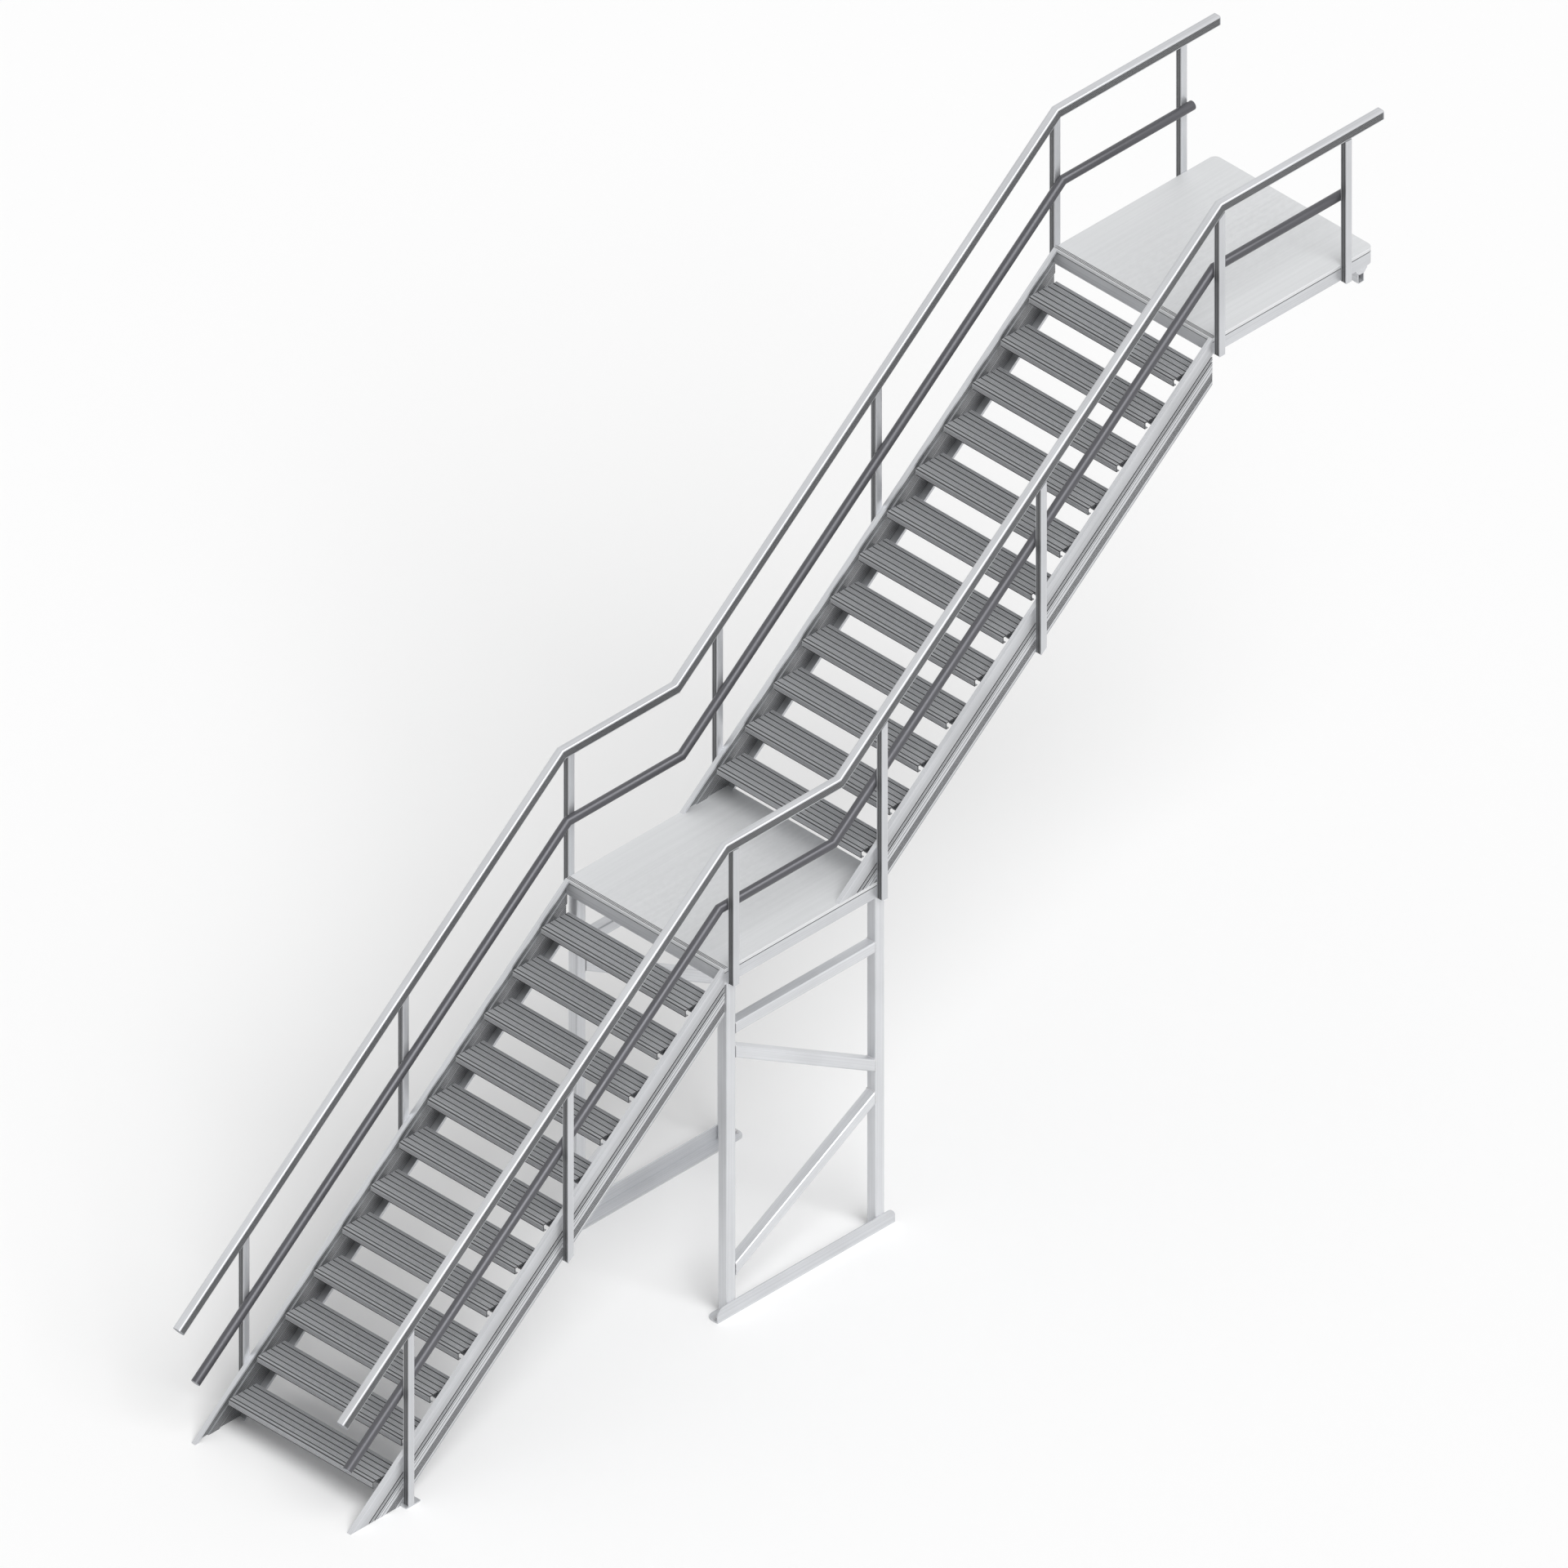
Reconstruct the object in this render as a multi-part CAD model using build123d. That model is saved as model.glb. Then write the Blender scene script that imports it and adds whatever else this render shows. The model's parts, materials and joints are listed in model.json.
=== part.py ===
from build123d import *
from math import atan2, cos, sin
import os

# Aluminium access stairs: two flights in one line, a landing on a braced tower,
# a top platform on a wall bearer, and rails on both sides.
# X runs up the stairs, Y to the left, Z up. The stairs are symmetric about Y = 0.

# Driving sizes, in millimetres
RISE = 187.5                 # height of one step
GOING = 232.0                # distance from one nosing to the next
FIRST_RISE = 220.0           # from the floor or landing to the lowest tread
RISERS = 13                  # risers in one flight, the landing being the last
WIDTH = 1300.0               # over the outer faces of the stringers
LANDING_DEPTH = 1330.0
PLATFORM_DEPTH = 1320.0
PLATFORM_CORNER = 45.0       # radius of its two rear corners
EDGE_DEPTH = 110.0           # deck and edge beam together
DECK_THICKNESS = 24.0
DECK_SKIN = 6.0
DECK_RIM = 45.0
DECK_RIB = 4.0
DECK_BAYS = 10
HANDRAIL_HEIGHT = 883.0      # rail centre above the landing
KNEE_RAIL_HEIGHT = 424.0
SLOPE_RAIL_LIFT = 12.0       # both rails stand this much higher over the pitch line
PLATFORM_RAIL_LIFT = 46.0    # and this much higher on the platform
HANDRAIL_LEAD = 90.0         # hand rail in front of the lowest stringer tip
HANDRAIL_TAIL = 38.0         # hand rail beyond the platform
KNEE_RAIL_STOP = 212.0       # knee rail's end, in front of the platform's rear edge

# Places of the rail posts and tower tubes, measured along X or Z
FIRST_POST = 452.0           # from the lowest stringer tip
SECOND_POST = 1755.0
UPPER_POST = 1235.0          # beyond the rear edge of the landing
LANDING_POST_FRONT = 52.0    # from the landing's front and rear edges
LANDING_POST_REAR = 64.0
PLATFORM_POST_FRONT = 35.0   # from the platform's front and rear edges
PLATFORM_POST_REAR = 250.0
TOWER_RAIL_DROP = 460.0      # centre of the level tube, under the landing's top
UPPER_BRACE_FRONT = 604.0    # its centre at the two uprights, under the landing's top
UPPER_BRACE_REAR = 1320.0
LOWER_BRACE_FRONT = 282.0    # its centre at the two uprights, above the ground
LOWER_BRACE_REAR = 966.0

# Sections
STRINGER_DEPTH = 250.0
STRINGER_WEB = 6.0
TOP_FLANGE = 30.0
BOTTOM_FLANGE = 60.0
TREAD_DEPTH = 225.0
TREAD_HEIGHT = 50.0
TREAD_END_GAP = 63.0         # tread end to the stringer's outer face
BOLT_CHANNEL_DEPTH = 15.0    # tread brackets sit on its inner face
BRACKET_LAP = 42.0           # bracket shelf under the tread
NOSING_OVERHANG = 30.0       # nosing in front of the pitch line
RAIL_POST = 48.0
RAIL_POST_WALL = 4.5
RAIL_POST_FLUTES = 3         # on its front and rear faces
RAIL_POST_FLUTE_PITCH = 11.0
HANDRAIL_WIDTH = 55.0
HANDRAIL_DEPTH = 68.0
HANDRAIL_WALL = 6.0
HANDRAIL_FLUTES = 5          # on each of its two sides
HANDRAIL_FLUTE_PITCH = 9.5
KNEE_RAIL_DIAMETER = 60.0
RAIL_WALL = 3.0
TOWER_TUBE = 75.0
TOWER_WALL = 4.0
TOWER_INSET = 57.0           # landing edge to the centre of its posts
BASE_ANGLE_HEIGHT = 100.0
BASE_ANGLE_WIDTH = 100.0
BASE_ANGLE_THICKNESS = 8.0
BASE_ANGLE_LENGTH = 1450.0
ANCHOR_HOLE_RADIUS = 9.0

# Worked out from the driving sizes
SLOPE = RISE / GOING
PITCH = atan2(RISE, GOING)
TREAD_LENGTH = WIDTH - 2 * TREAD_END_GAP
FLIGHT_RISE = FIRST_RISE + RISE * (RISERS - 1)
FLIGHT_RUN = FLIGHT_RISE / SLOPE
HALF = WIDTH / 2
FOOT_LENGTH = STRINGER_DEPTH / cos(PITCH) / SLOPE
LANDING_FRONT = FLIGHT_RUN
LANDING_REAR = LANDING_FRONT + LANDING_DEPTH
LANDING_TOP = FLIGHT_RISE
UPPER_FOOT = LANDING_REAR - FOOT_LENGTH
PLATFORM_FRONT = UPPER_FOOT + FLIGHT_RUN
PLATFORM_REAR = PLATFORM_FRONT + PLATFORM_DEPTH
PLATFORM_TOP = LANDING_TOP + FLIGHT_RISE
FRONT_POST = LANDING_FRONT + TOWER_INSET
REAR_POST = LANDING_REAR - TOWER_INSET
HANDRAIL_START = -HANDRAIL_LEAD
HANDRAIL_END = PLATFORM_REAR + HANDRAIL_TAIL
KNEE_RAIL_START = 0.0
KNEE_RAIL_END = PLATFORM_REAR - KNEE_RAIL_STOP
HANDRAIL_TIP = HANDRAIL_START - HANDRAIL_DEPTH / 2 * sin(PITCH)
CENTRE_X = (HANDRAIL_TIP + HANDRAIL_END) / 2
RAIL_POST_Y = HALF + RAIL_POST / 2
HANDRAIL_Y = HALF + 18.0
KNEE_RAIL_Y = HALF - KNEE_RAIL_DIAMETER / 2

# Rail posts: five on the flights, two on each level part
LOWER_POSTS = (FIRST_POST, SECOND_POST)
LANDING_POSTS = (LANDING_FRONT + LANDING_POST_FRONT, LANDING_REAR - LANDING_POST_REAR)
UPPER_POSTS = (LANDING_REAR + UPPER_POST,)
PLATFORM_POSTS = (PLATFORM_FRONT + PLATFORM_POST_FRONT, PLATFORM_REAR - PLATFORM_POST_REAR)

SIDES = {"right": -1, "left": 1}


def save(shape, name):
    """Write one piece, with the origin moved to the middle of the footprint."""
    export_step(Pos(-CENTRE_X, 0, 0) * shape, f"parts/{name}.step")


def mirrored(shape, side):
    """A piece drawn on the right, or its twin on the left."""
    return shape if side < 0 else mirror(shape, about=Plane.XZ)


def tube_section(width, depth, wall):
    """A rectangular hollow section with broken corners."""
    outline = chamfer(Rectangle(width, depth).vertices(), min(1.25 * wall, 5))
    return outline - Rectangle(width - 2 * wall, depth - 2 * wall)


def fluted(outline, width, flutes, pitch, size):
    """The outline with V flutes cut along its two sides."""
    flute = Rot(0, 0, 45) * Rectangle(size, size)
    for side in (-1, 1):
        for i in range(flutes):
            outline -= Pos(side * width / 2, (i - (flutes - 1) / 2) * pitch) * flute
    return outline


def upright_tube(size, wall, length):
    """A square hollow section standing on Z = 0."""
    return extrude(tube_section(size, size, wall), amount=length)


def pitch_plane(x, z, angle=PITCH):
    """A plane through a point of the side view, square to Y and tilted by angle."""
    return Plane(origin=(x, 0, z), x_dir=(0, 1, 0), z_dir=(-sin(angle), 0, cos(angle)))


def side_body(points, low_y, high_y):
    """A solid with the given outline in the side view, between two values of Y."""
    outline = Polyline(*[(x, low_y, z) for x, z in points], close=True)
    return extrude(make_face(outline), amount=high_y - low_y, dir=(0, 1, 0))


# Stringers
def stringer_profile():
    """Half-open channel: outer face on x = 0, inward +x, top edge on y = 0."""
    web = Pos(STRINGER_WEB / 2, -STRINGER_DEPTH / 2) * Rectangle(STRINGER_WEB, STRINGER_DEPTH)
    top = Pos(TOP_FLANGE / 2, -3) * Rectangle(TOP_FLANGE, 6)
    top_lip = Pos(TOP_FLANGE - 2.5, -7) * Rectangle(5, 14)
    bottom = Pos(BOTTOM_FLANGE / 2, 3 - STRINGER_DEPTH) * Rectangle(BOTTOM_FLANGE, 6)
    bottom_lip = Pos(BOTTOM_FLANGE - 2.5, 9 - STRINGER_DEPTH) * Rectangle(5, 18)
    profile = web + top + top_lip + bottom + bottom_lip
    # Two bolt channels along the middle, for the rail posts and tread brackets
    deep = BOLT_CHANNEL_DEPTH
    for slot_y in (-92.0, -120.0):
        profile += Pos(deep / 2, slot_y) * Rectangle(deep, 27)
    for slot_y in (-92.0, -120.0):
        profile -= Pos(1.5, slot_y) * Rectangle(3, 9)
        profile -= Pos(deep / 2 - 0.5, slot_y) * Rectangle(deep - 7, 19)
    # Fine ribbing on the lower band and one score line above it
    profile -= Pos(0.75, -148) * Rectangle(1.5, 4)
    for i in range(5):
        profile -= Pos(1, 10 * i - STRINGER_DEPTH + 26) * Rectangle(2, 5)
    return profile


def stringer(foot_x, foot_z):
    """One right-hand stringer, foot cut level and head cut plumb."""
    along = Vector(cos(PITCH), 0, sin(PITCH))
    across = Plane(origin=(foot_x, -HALF, foot_z), x_dir=(0, 1, 0), z_dir=along)
    length = FLIGHT_RUN / cos(PITCH)
    extra = STRINGER_DEPTH * 2
    bar = extrude(across * stringer_profile(), amount=length + extra)
    bar += extrude(across * stringer_profile(), amount=-extra)
    drop = STRINGER_DEPTH / cos(PITCH)
    head_x = foot_x + FLIGHT_RUN
    head_z = foot_z + FLIGHT_RISE
    outline = [(foot_x, foot_z), (foot_x + FOOT_LENGTH, foot_z)]
    outline += [(head_x, head_z - drop), (head_x, head_z)]
    return bar & side_body(outline, -HALF, -HALF + BOTTOM_FLANGE)


# Treads
def tread_profile():
    """Ribbed tread plank: nosing tip on x = 0, walking surface on y = 0."""
    profile = Pos(TREAD_DEPTH / 2, -2.5) * Rectangle(TREAD_DEPTH, 5)
    # Legs with toes: the apron under the nosing, one leg in the middle, one at the rear
    middle = TREAD_DEPTH / 2 + 10
    for leg_x, toe_x, toe in ((3, 13, 26), (middle, middle, 30), (TREAD_DEPTH - 2, TREAD_DEPTH - 12, 24)):
        thickness = 6 if leg_x == 3 else 4
        profile += Pos(leg_x, -TREAD_HEIGHT / 2) * Rectangle(thickness, TREAD_HEIGHT)
        profile += Pos(toe_x, 2 - TREAD_HEIGHT) * Rectangle(toe, 4)
    profile = chamfer(profile.vertices().sort_by(Axis.X)[:2], 3)
    # V grooves along the walking surface and down the nosing
    groove = Rot(0, 0, 45) * Rectangle(5, 5)
    for i in range(5):
        profile -= Pos(28 + 42 * i, 0) * groove
    for i in range(2):
        profile -= Pos(0, -17 - 14 * i) * groove
    return profile


def tread(nose_x, top_z):
    """One tread with its two end brackets."""
    plane = Plane(origin=(nose_x, -TREAD_LENGTH / 2, top_z), x_dir=(1, 0, 0), z_dir=(0, 1, 0))
    flipped = mirror(tread_profile(), about=Plane.XZ)
    plank = extrude(plane * flipped, amount=TREAD_LENGTH)
    reach = HALF - BOLT_CHANNEL_DEPTH
    width = reach - TREAD_LENGTH / 2 + BRACKET_LAP
    under = top_z - TREAD_HEIGHT
    bracket_x = nose_x + TREAD_DEPTH / 2 + 15
    shelf = Pos(bracket_x, width / 2 - reach, under - 3) * Box(120, width, 6)
    cheek = Pos(bracket_x, 3 - reach, under - 27) * Box(120, 6, 54)
    bracket = shelf + cheek
    return plank + bracket + mirror(bracket, about=Plane.XZ)


# Landing and platform
def level_frame(front, rear, top, corner):
    """Perimeter beams with cross bearers, under a deck."""
    depth = rear - front
    height = EDGE_DEPTH - DECK_THICKNESS
    low = top - EDGE_DEPTH
    middle = (front + rear) / 2
    outline = plan(front, rear, corner)
    inner = Pos(middle, 0) * Rectangle(depth - 90, WIDTH - 90)
    frame = extrude(outline - inner, amount=height)
    # The edge beams are channels, open towards the inside
    hollow = Pos(middle, 0) * Rectangle(depth - 12, WIDTH - 12)
    if corner:
        hollow = fillet(hollow.vertices().filter_by_position(Axis.X, middle, rear), corner - 6)
    frame -= Pos(0, 0, 6) * extrude(hollow, amount=height - 12)
    # The bearers run across the deck and butt against the webs
    bearer = Pos(0, 0, height / 2) * Box(40, WIDTH - 12, height)
    bearer -= Pos(0, 0, height / 2) * Box(32, WIDTH, height - 10)
    for i in range(1, 4):
        frame += Pos(front + depth * i / 4, 0, 0) * bearer
    return Pos(0, 0, low) * frame


def plan(front, rear, corner):
    """Plan outline of a landing; corner is the radius of its two rear corners."""
    middle = (front + rear) / 2
    outline = Pos(middle, 0) * Rectangle(rear - front, WIDTH)
    if corner:
        outline = fillet(outline.vertices().filter_by_position(Axis.X, middle, rear), corner)
    return outline


def deck(front, rear, top, corner):
    """Deck of ribbed planks laid along X, with grip grooves along its front edge."""
    low = top - DECK_THICKNESS
    plate = Pos(0, 0, low) * extrude(plan(front, rear, corner), amount=DECK_THICKNESS)
    bay = (WIDTH - 2 * DECK_RIM) / DECK_BAYS
    length = rear - front - 2 * DECK_RIM
    height = DECK_THICKNESS - DECK_SKIN
    for i in range(DECK_BAYS):
        y = -WIDTH / 2 + DECK_RIM + bay * (i + 0.5)
        plate -= Pos((front + rear) / 2, y, low + height / 2) * Box(length, bay - DECK_RIB, height)
    for i in range(3):
        plate -= Pos(front + 8 + 10 * i, 0, top) * Box(4, WIDTH, 3)
    return plate


# Tower
def tower_post(x):
    """Right-hand upright, on the base angle and under the landing frame."""
    length = LANDING_TOP - EDGE_DEPTH - BASE_ANGLE_THICKNESS
    tube = upright_tube(TOWER_TUBE, TOWER_WALL, length)
    return Pos(x, -HALF + TOWER_TUBE / 2, BASE_ANGLE_THICKNESS) * tube


def tower_bar(front_z, rear_z):
    """Right-hand square tube between the two uprights, cut plumb at both ends."""
    run = REAR_POST - FRONT_POST
    rise = rear_z - front_z
    along = Vector(run, 0, rise).normalized()
    centre_y = -HALF + TOWER_TUBE / 2
    across = Plane(origin=(FRONT_POST, centre_y, front_z), x_dir=(0, 1, 0), z_dir=along)
    section = across * tube_section(TOWER_TUBE, TOWER_TUBE, TOWER_WALL)
    length = Vector(run, 0, rise).length
    bar = extrude(section, amount=length + TOWER_TUBE) + extrude(section, amount=-TOWER_TUBE)
    middle = Pos((FRONT_POST + REAR_POST) / 2, centre_y, LANDING_TOP / 2)
    return bar & middle * Box(run - TOWER_TUBE, TOWER_TUBE, LANDING_TOP)


def base_angle():
    """Right-hand ground angle with rounded ends and two anchor holes."""
    start = LANDING_FRONT - 64.0
    middle = start + BASE_ANGLE_LENGTH / 2
    outer = -HALF - BASE_ANGLE_THICKNESS
    flange = Pos(middle, outer + BASE_ANGLE_WIDTH / 2) * Rectangle(BASE_ANGLE_LENGTH, BASE_ANGLE_WIDTH)
    flange = fillet(flange.vertices().sort_by(Axis.Y)[-2:], 55)
    for hole_x in (start + 28, start + BASE_ANGLE_LENGTH - 28):
        flange -= Pos(hole_x, outer + 34) * Circle(ANCHOR_HOLE_RADIUS)
    foot = extrude(flange, amount=BASE_ANGLE_THICKNESS)
    upright = Pos(middle, BASE_ANGLE_HEIGHT / 2) * Rectangle(BASE_ANGLE_LENGTH, BASE_ANGLE_HEIGHT)
    upright = Plane.XZ * fillet(upright.vertices().sort_by(Axis.Y)[-2:], 55)
    wall = Pos(0, outer, 0) * extrude(upright, amount=-BASE_ANGLE_THICKNESS)
    return foot + wall


# Rails
def rail_path(height, y, start, end):
    """Centre line of one rail: slope, level, slope and level again."""
    over_slope = height + SLOPE_RAIL_LIFT
    over_platform = height + PLATFORM_RAIL_LIFT
    early = SLOPE_RAIL_LIFT / SLOPE
    late = (over_platform - over_slope) / SLOPE
    points = [
        (start, y, start * SLOPE + over_slope),
        (LANDING_FRONT - early, y, LANDING_TOP + height),
        (UPPER_FOOT - early, y, LANDING_TOP + height),
        (PLATFORM_FRONT + late, y, PLATFORM_TOP + over_platform),
        (end, y, PLATFORM_TOP + over_platform),
    ]
    return Polyline(*points)


def rail(outline, bore, path):
    """A hollow rail with mitred bends and closed ends."""
    start = path @ 0
    across = Plane(origin=start, x_dir=(0, 1, 0), z_dir=path % 0)
    tube = sweep(across * outline, path=path, transition=Transition.RIGHT)
    core = sweep(across * bore, path=path, transition=Transition.RIGHT)
    first_cap = extrude(across * outline, amount=4)
    finish = Plane(origin=path @ 1, x_dir=(0, 1, 0), z_dir=path % 1)
    last_cap = extrude(finish * outline, amount=-4)
    return tube - core + first_cap + last_cap


def handrail():
    """Right-hand top rail, flat above and fluted along its sides."""
    outline = RectangleRounded(HANDRAIL_WIDTH, HANDRAIL_DEPTH, 10)
    outline = fluted(outline, HANDRAIL_WIDTH, HANDRAIL_FLUTES, HANDRAIL_FLUTE_PITCH, 3.8)
    bore = Rectangle(HANDRAIL_WIDTH - 2 * HANDRAIL_WALL, HANDRAIL_DEPTH - 2 * HANDRAIL_WALL)
    path = rail_path(HANDRAIL_HEIGHT, -HANDRAIL_Y, HANDRAIL_START, HANDRAIL_END)
    return rail(outline, bore, path)


def knee_rail():
    """Right-hand round rail at knee height."""
    outline = Circle(KNEE_RAIL_DIAMETER / 2)
    bore = RegularPolygon(KNEE_RAIL_DIAMETER / 2 - RAIL_WALL, 8)
    path = rail_path(KNEE_RAIL_HEIGHT, -KNEE_RAIL_Y, KNEE_RAIL_START, KNEE_RAIL_END)
    return rail(outline, bore, path)


def rail_post(x, low, high, low_angle=0.0, high_angle=0.0):
    """Right-hand post, cut along low_angle at its foot and high_angle at its head."""
    section = tube_section(RAIL_POST, RAIL_POST, RAIL_POST_WALL)
    section = fluted(section, RAIL_POST, RAIL_POST_FLUTES, RAIL_POST_FLUTE_PITCH, 3)
    tube = Pos(x, -RAIL_POST_Y, low - 100) * extrude(section, amount=high - low + 200)
    foot = pitch_plane(x, low, low_angle)
    head = pitch_plane(x, high, high_angle)
    return split(split(tube, bisect_by=foot, keep=Keep.TOP), bisect_by=head, keep=Keep.BOTTOM)


def rail_posts():
    """All seven posts of the right-hand side, cut to the underside of the handrail."""
    under_slope = HANDRAIL_HEIGHT + SLOPE_RAIL_LIFT - HANDRAIL_DEPTH / 2 / cos(PITCH)
    under_level = HANDRAIL_HEIGHT - HANDRAIL_DEPTH / 2
    drop = STRINGER_DEPTH / cos(PITCH)
    posts = []
    for x in LOWER_POSTS:
        posts.append(rail_post(x, x * SLOPE - drop, x * SLOPE + under_slope, PITCH, PITCH))
    for x in UPPER_POSTS:
        pitch_z = LANDING_TOP + (x - UPPER_FOOT) * SLOPE
        posts.append(rail_post(x, pitch_z - drop, pitch_z + under_slope, PITCH, PITCH))
    # The lowest post runs on down to a foot plate on the ground
    x = LOWER_POSTS[0]
    plate = Pos(x + 15, -RAIL_POST_Y + 8, 4) * Box(118, 64, 8)
    posts[0] = rail_post(x, 8, x * SLOPE + under_slope, 0, PITCH) + plate
    front, rear = LANDING_POSTS
    low = LANDING_TOP - EDGE_DEPTH
    posts.append(rail_post(front, low, LANDING_TOP + under_level))
    rear_high = LANDING_TOP + (rear - UPPER_FOOT) * SLOPE + under_slope
    posts.append(rail_post(rear, low, rear_high, 0, PITCH))
    # The front platform post meets the rail at its bend, so both planes cut it
    bend = pitch_plane(PLATFORM_FRONT, PLATFORM_TOP + under_slope)
    for x in PLATFORM_POSTS:
        low = PLATFORM_TOP - EDGE_DEPTH
        post = rail_post(x, low, PLATFORM_TOP + under_level + PLATFORM_RAIL_LIFT)
        posts.append(split(post, bisect_by=bend, keep=Keep.BOTTOM))
    return Compound(children=posts)


# Wall bearer
def wall_bearer():
    """Box bearer across the back of the platform, with hooked end brackets."""
    back = PLATFORM_REAR - 72.0
    top = PLATFORM_TOP - EDGE_DEPTH
    depth = 105.0
    width = 50.0
    length = WIDTH - 20.0
    tube = extrude(Plane.XZ * tube_section(width, depth, 5), amount=length / 2, both=True)
    bearer = Pos(back - width / 2, 0, top - depth / 2) * tube
    # Each hook reaches forward and back under the edge beam
    hook = Pos(back - width / 2, top - 20) * Rectangle(width + 40, 40)
    hook = chamfer(hook.vertices().sort_by(Axis.Y)[:2], 26)
    plate = extrude(Plane.XZ * hook, amount=6)
    bearer += Pos(0, -length / 2, 0) * plate
    bearer += Pos(0, length / 2 + 6, 0) * plate
    for y in (-450.0, 450.0):
        bearer -= Pos(back, y, top - 60) * Rot(0, 90, 0) * Cylinder(ANCHOR_HOLE_RADIUS, 3 * width)
    return bearer


def main():
    os.makedirs("parts", exist_ok=True)
    flights = {"lower": (0.0, 0.0), "upper": (UPPER_FOOT, LANDING_TOP)}
    for flight, (foot_x, foot_z) in flights.items():
        piece = stringer(foot_x, foot_z)
        for side, sign in SIDES.items():
            save(mirrored(piece, sign), f"{flight}_{side}_stringer")
        for k in range(1, RISERS):
            rise = FIRST_RISE + RISE * (k - 1)
            nose_x = foot_x + rise / SLOPE - NOSING_OVERHANG
            save(tread(nose_x, foot_z + rise), f"{flight}_tread_{k:02d}")
    save(level_frame(LANDING_FRONT, LANDING_REAR, LANDING_TOP, 0), "landing_frame")
    save(deck(LANDING_FRONT, LANDING_REAR, LANDING_TOP, 0), "landing_deck")
    save(level_frame(PLATFORM_FRONT, PLATFORM_REAR, PLATFORM_TOP, PLATFORM_CORNER), "platform_frame")
    save(deck(PLATFORM_FRONT, PLATFORM_REAR, PLATFORM_TOP, PLATFORM_CORNER), "platform_deck")
    save(wall_bearer(), "wall_bearer")
    posts = Compound(children=[tower_post(FRONT_POST), tower_post(REAR_POST)])
    level = LANDING_TOP - TOWER_RAIL_DROP
    tower_rail = tower_bar(level, level)
    upper_brace = tower_bar(LANDING_TOP - UPPER_BRACE_FRONT, LANDING_TOP - UPPER_BRACE_REAR)
    lower_brace = tower_bar(LOWER_BRACE_FRONT, LOWER_BRACE_REAR)
    braces = Compound(children=[upper_brace, lower_brace])
    pieces = {
        "tower_posts": posts,
        "tower_rail": tower_rail,
        "tower_braces": braces,
        "base_angle": base_angle(),
        "handrail": handrail(),
        "knee_rail": knee_rail(),
        "rail_posts": rail_posts(),
    }
    for name, piece in pieces.items():
        for side, sign in SIDES.items():
            save(mirrored(piece, sign), f"{side}_{name}")


main()
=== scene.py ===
import bmesh
import bpy
import json
from math import atan2, cos, dist, pi, radians, sin
from bpy.props import FloatProperty, FloatVectorProperty, IntProperty, PointerProperty
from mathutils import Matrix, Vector

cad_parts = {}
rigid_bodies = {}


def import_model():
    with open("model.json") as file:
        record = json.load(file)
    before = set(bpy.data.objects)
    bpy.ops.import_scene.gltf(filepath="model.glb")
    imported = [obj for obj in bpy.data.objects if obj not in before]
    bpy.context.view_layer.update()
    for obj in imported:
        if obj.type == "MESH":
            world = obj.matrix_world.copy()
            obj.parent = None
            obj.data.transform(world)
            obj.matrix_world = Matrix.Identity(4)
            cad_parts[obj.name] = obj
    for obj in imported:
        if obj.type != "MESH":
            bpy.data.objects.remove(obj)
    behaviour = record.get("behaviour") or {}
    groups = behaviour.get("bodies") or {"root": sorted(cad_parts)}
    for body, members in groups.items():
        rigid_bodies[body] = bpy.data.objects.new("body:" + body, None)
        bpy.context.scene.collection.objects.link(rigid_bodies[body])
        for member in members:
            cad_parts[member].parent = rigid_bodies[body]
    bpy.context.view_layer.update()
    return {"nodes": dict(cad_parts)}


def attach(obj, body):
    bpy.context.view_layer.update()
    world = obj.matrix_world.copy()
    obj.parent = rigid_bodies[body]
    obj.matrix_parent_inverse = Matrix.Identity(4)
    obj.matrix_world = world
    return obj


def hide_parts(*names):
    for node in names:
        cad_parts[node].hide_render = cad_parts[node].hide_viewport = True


bl_info = {
    "name": "Aluminium access stairs",
    "version": (1, 0, 0),
    "blender": (4, 5, 0),
    "location": "View3D > Sidebar > Stairs",
    "description": "Dresses the packed solids of two-flight aluminium access stairs",
    "category": "Object",
}

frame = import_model()

# Sizes of the stairs in metres, as in the solids. Distances along X start at the lowest stringer tip.
RISE = 0.1875
GOING = 0.232
FIRST_RISE = 0.220
RISERS = 13
HALF = 0.650
LANDING_DEPTH = 1.330
PLATFORM_DEPTH = 1.320
PLATFORM_CORNER = 0.045
EDGE_DEPTH = 0.110
DECK_THICKNESS = 0.024
DECK_SKIN = 0.006
DECK_RIM = 0.043
DECK_BAYS = 10
DECK_BEARERS = 3
BEAM_WALL = 0.006
SEAM = 0.003
GRIP_STRIPS = 3
STRINGER_DEPTH = 0.250
STRINGER_WEB = 0.006
SLOPE = RISE / GOING
PITCH = atan2(RISE, GOING)
FLIGHT_RISE = FIRST_RISE + RISE * (RISERS - 1)
FLIGHT_RUN = FLIGHT_RISE / SLOPE
LANDING_FRONT = FLIGHT_RUN
LANDING_REAR = LANDING_FRONT + LANDING_DEPTH
LANDING_TOP = FLIGHT_RISE
UPPER_FOOT = LANDING_REAR - STRINGER_DEPTH / cos(PITCH) / SLOPE
PLATFORM_FRONT = UPPER_FOOT + FLIGHT_RUN
PLATFORM_REAR = PLATFORM_FRONT + PLATFORM_DEPTH
PLATFORM_TOP = LANDING_TOP + FLIGHT_RISE
SLOPE_RAIL_LIFT = 0.012
PLATFORM_RAIL_LIFT = 0.046
HANDRAIL_WIDTH = 0.055
HANDRAIL_DEPTH = 0.068
HANDRAIL_CORNER = 0.010
HANDRAIL_FLUTE_PITCH = 0.0095
HANDRAIL_HEIGHT = 0.883
HANDRAIL_Y = HALF + 0.018
HANDRAIL_START = -0.090
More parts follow.
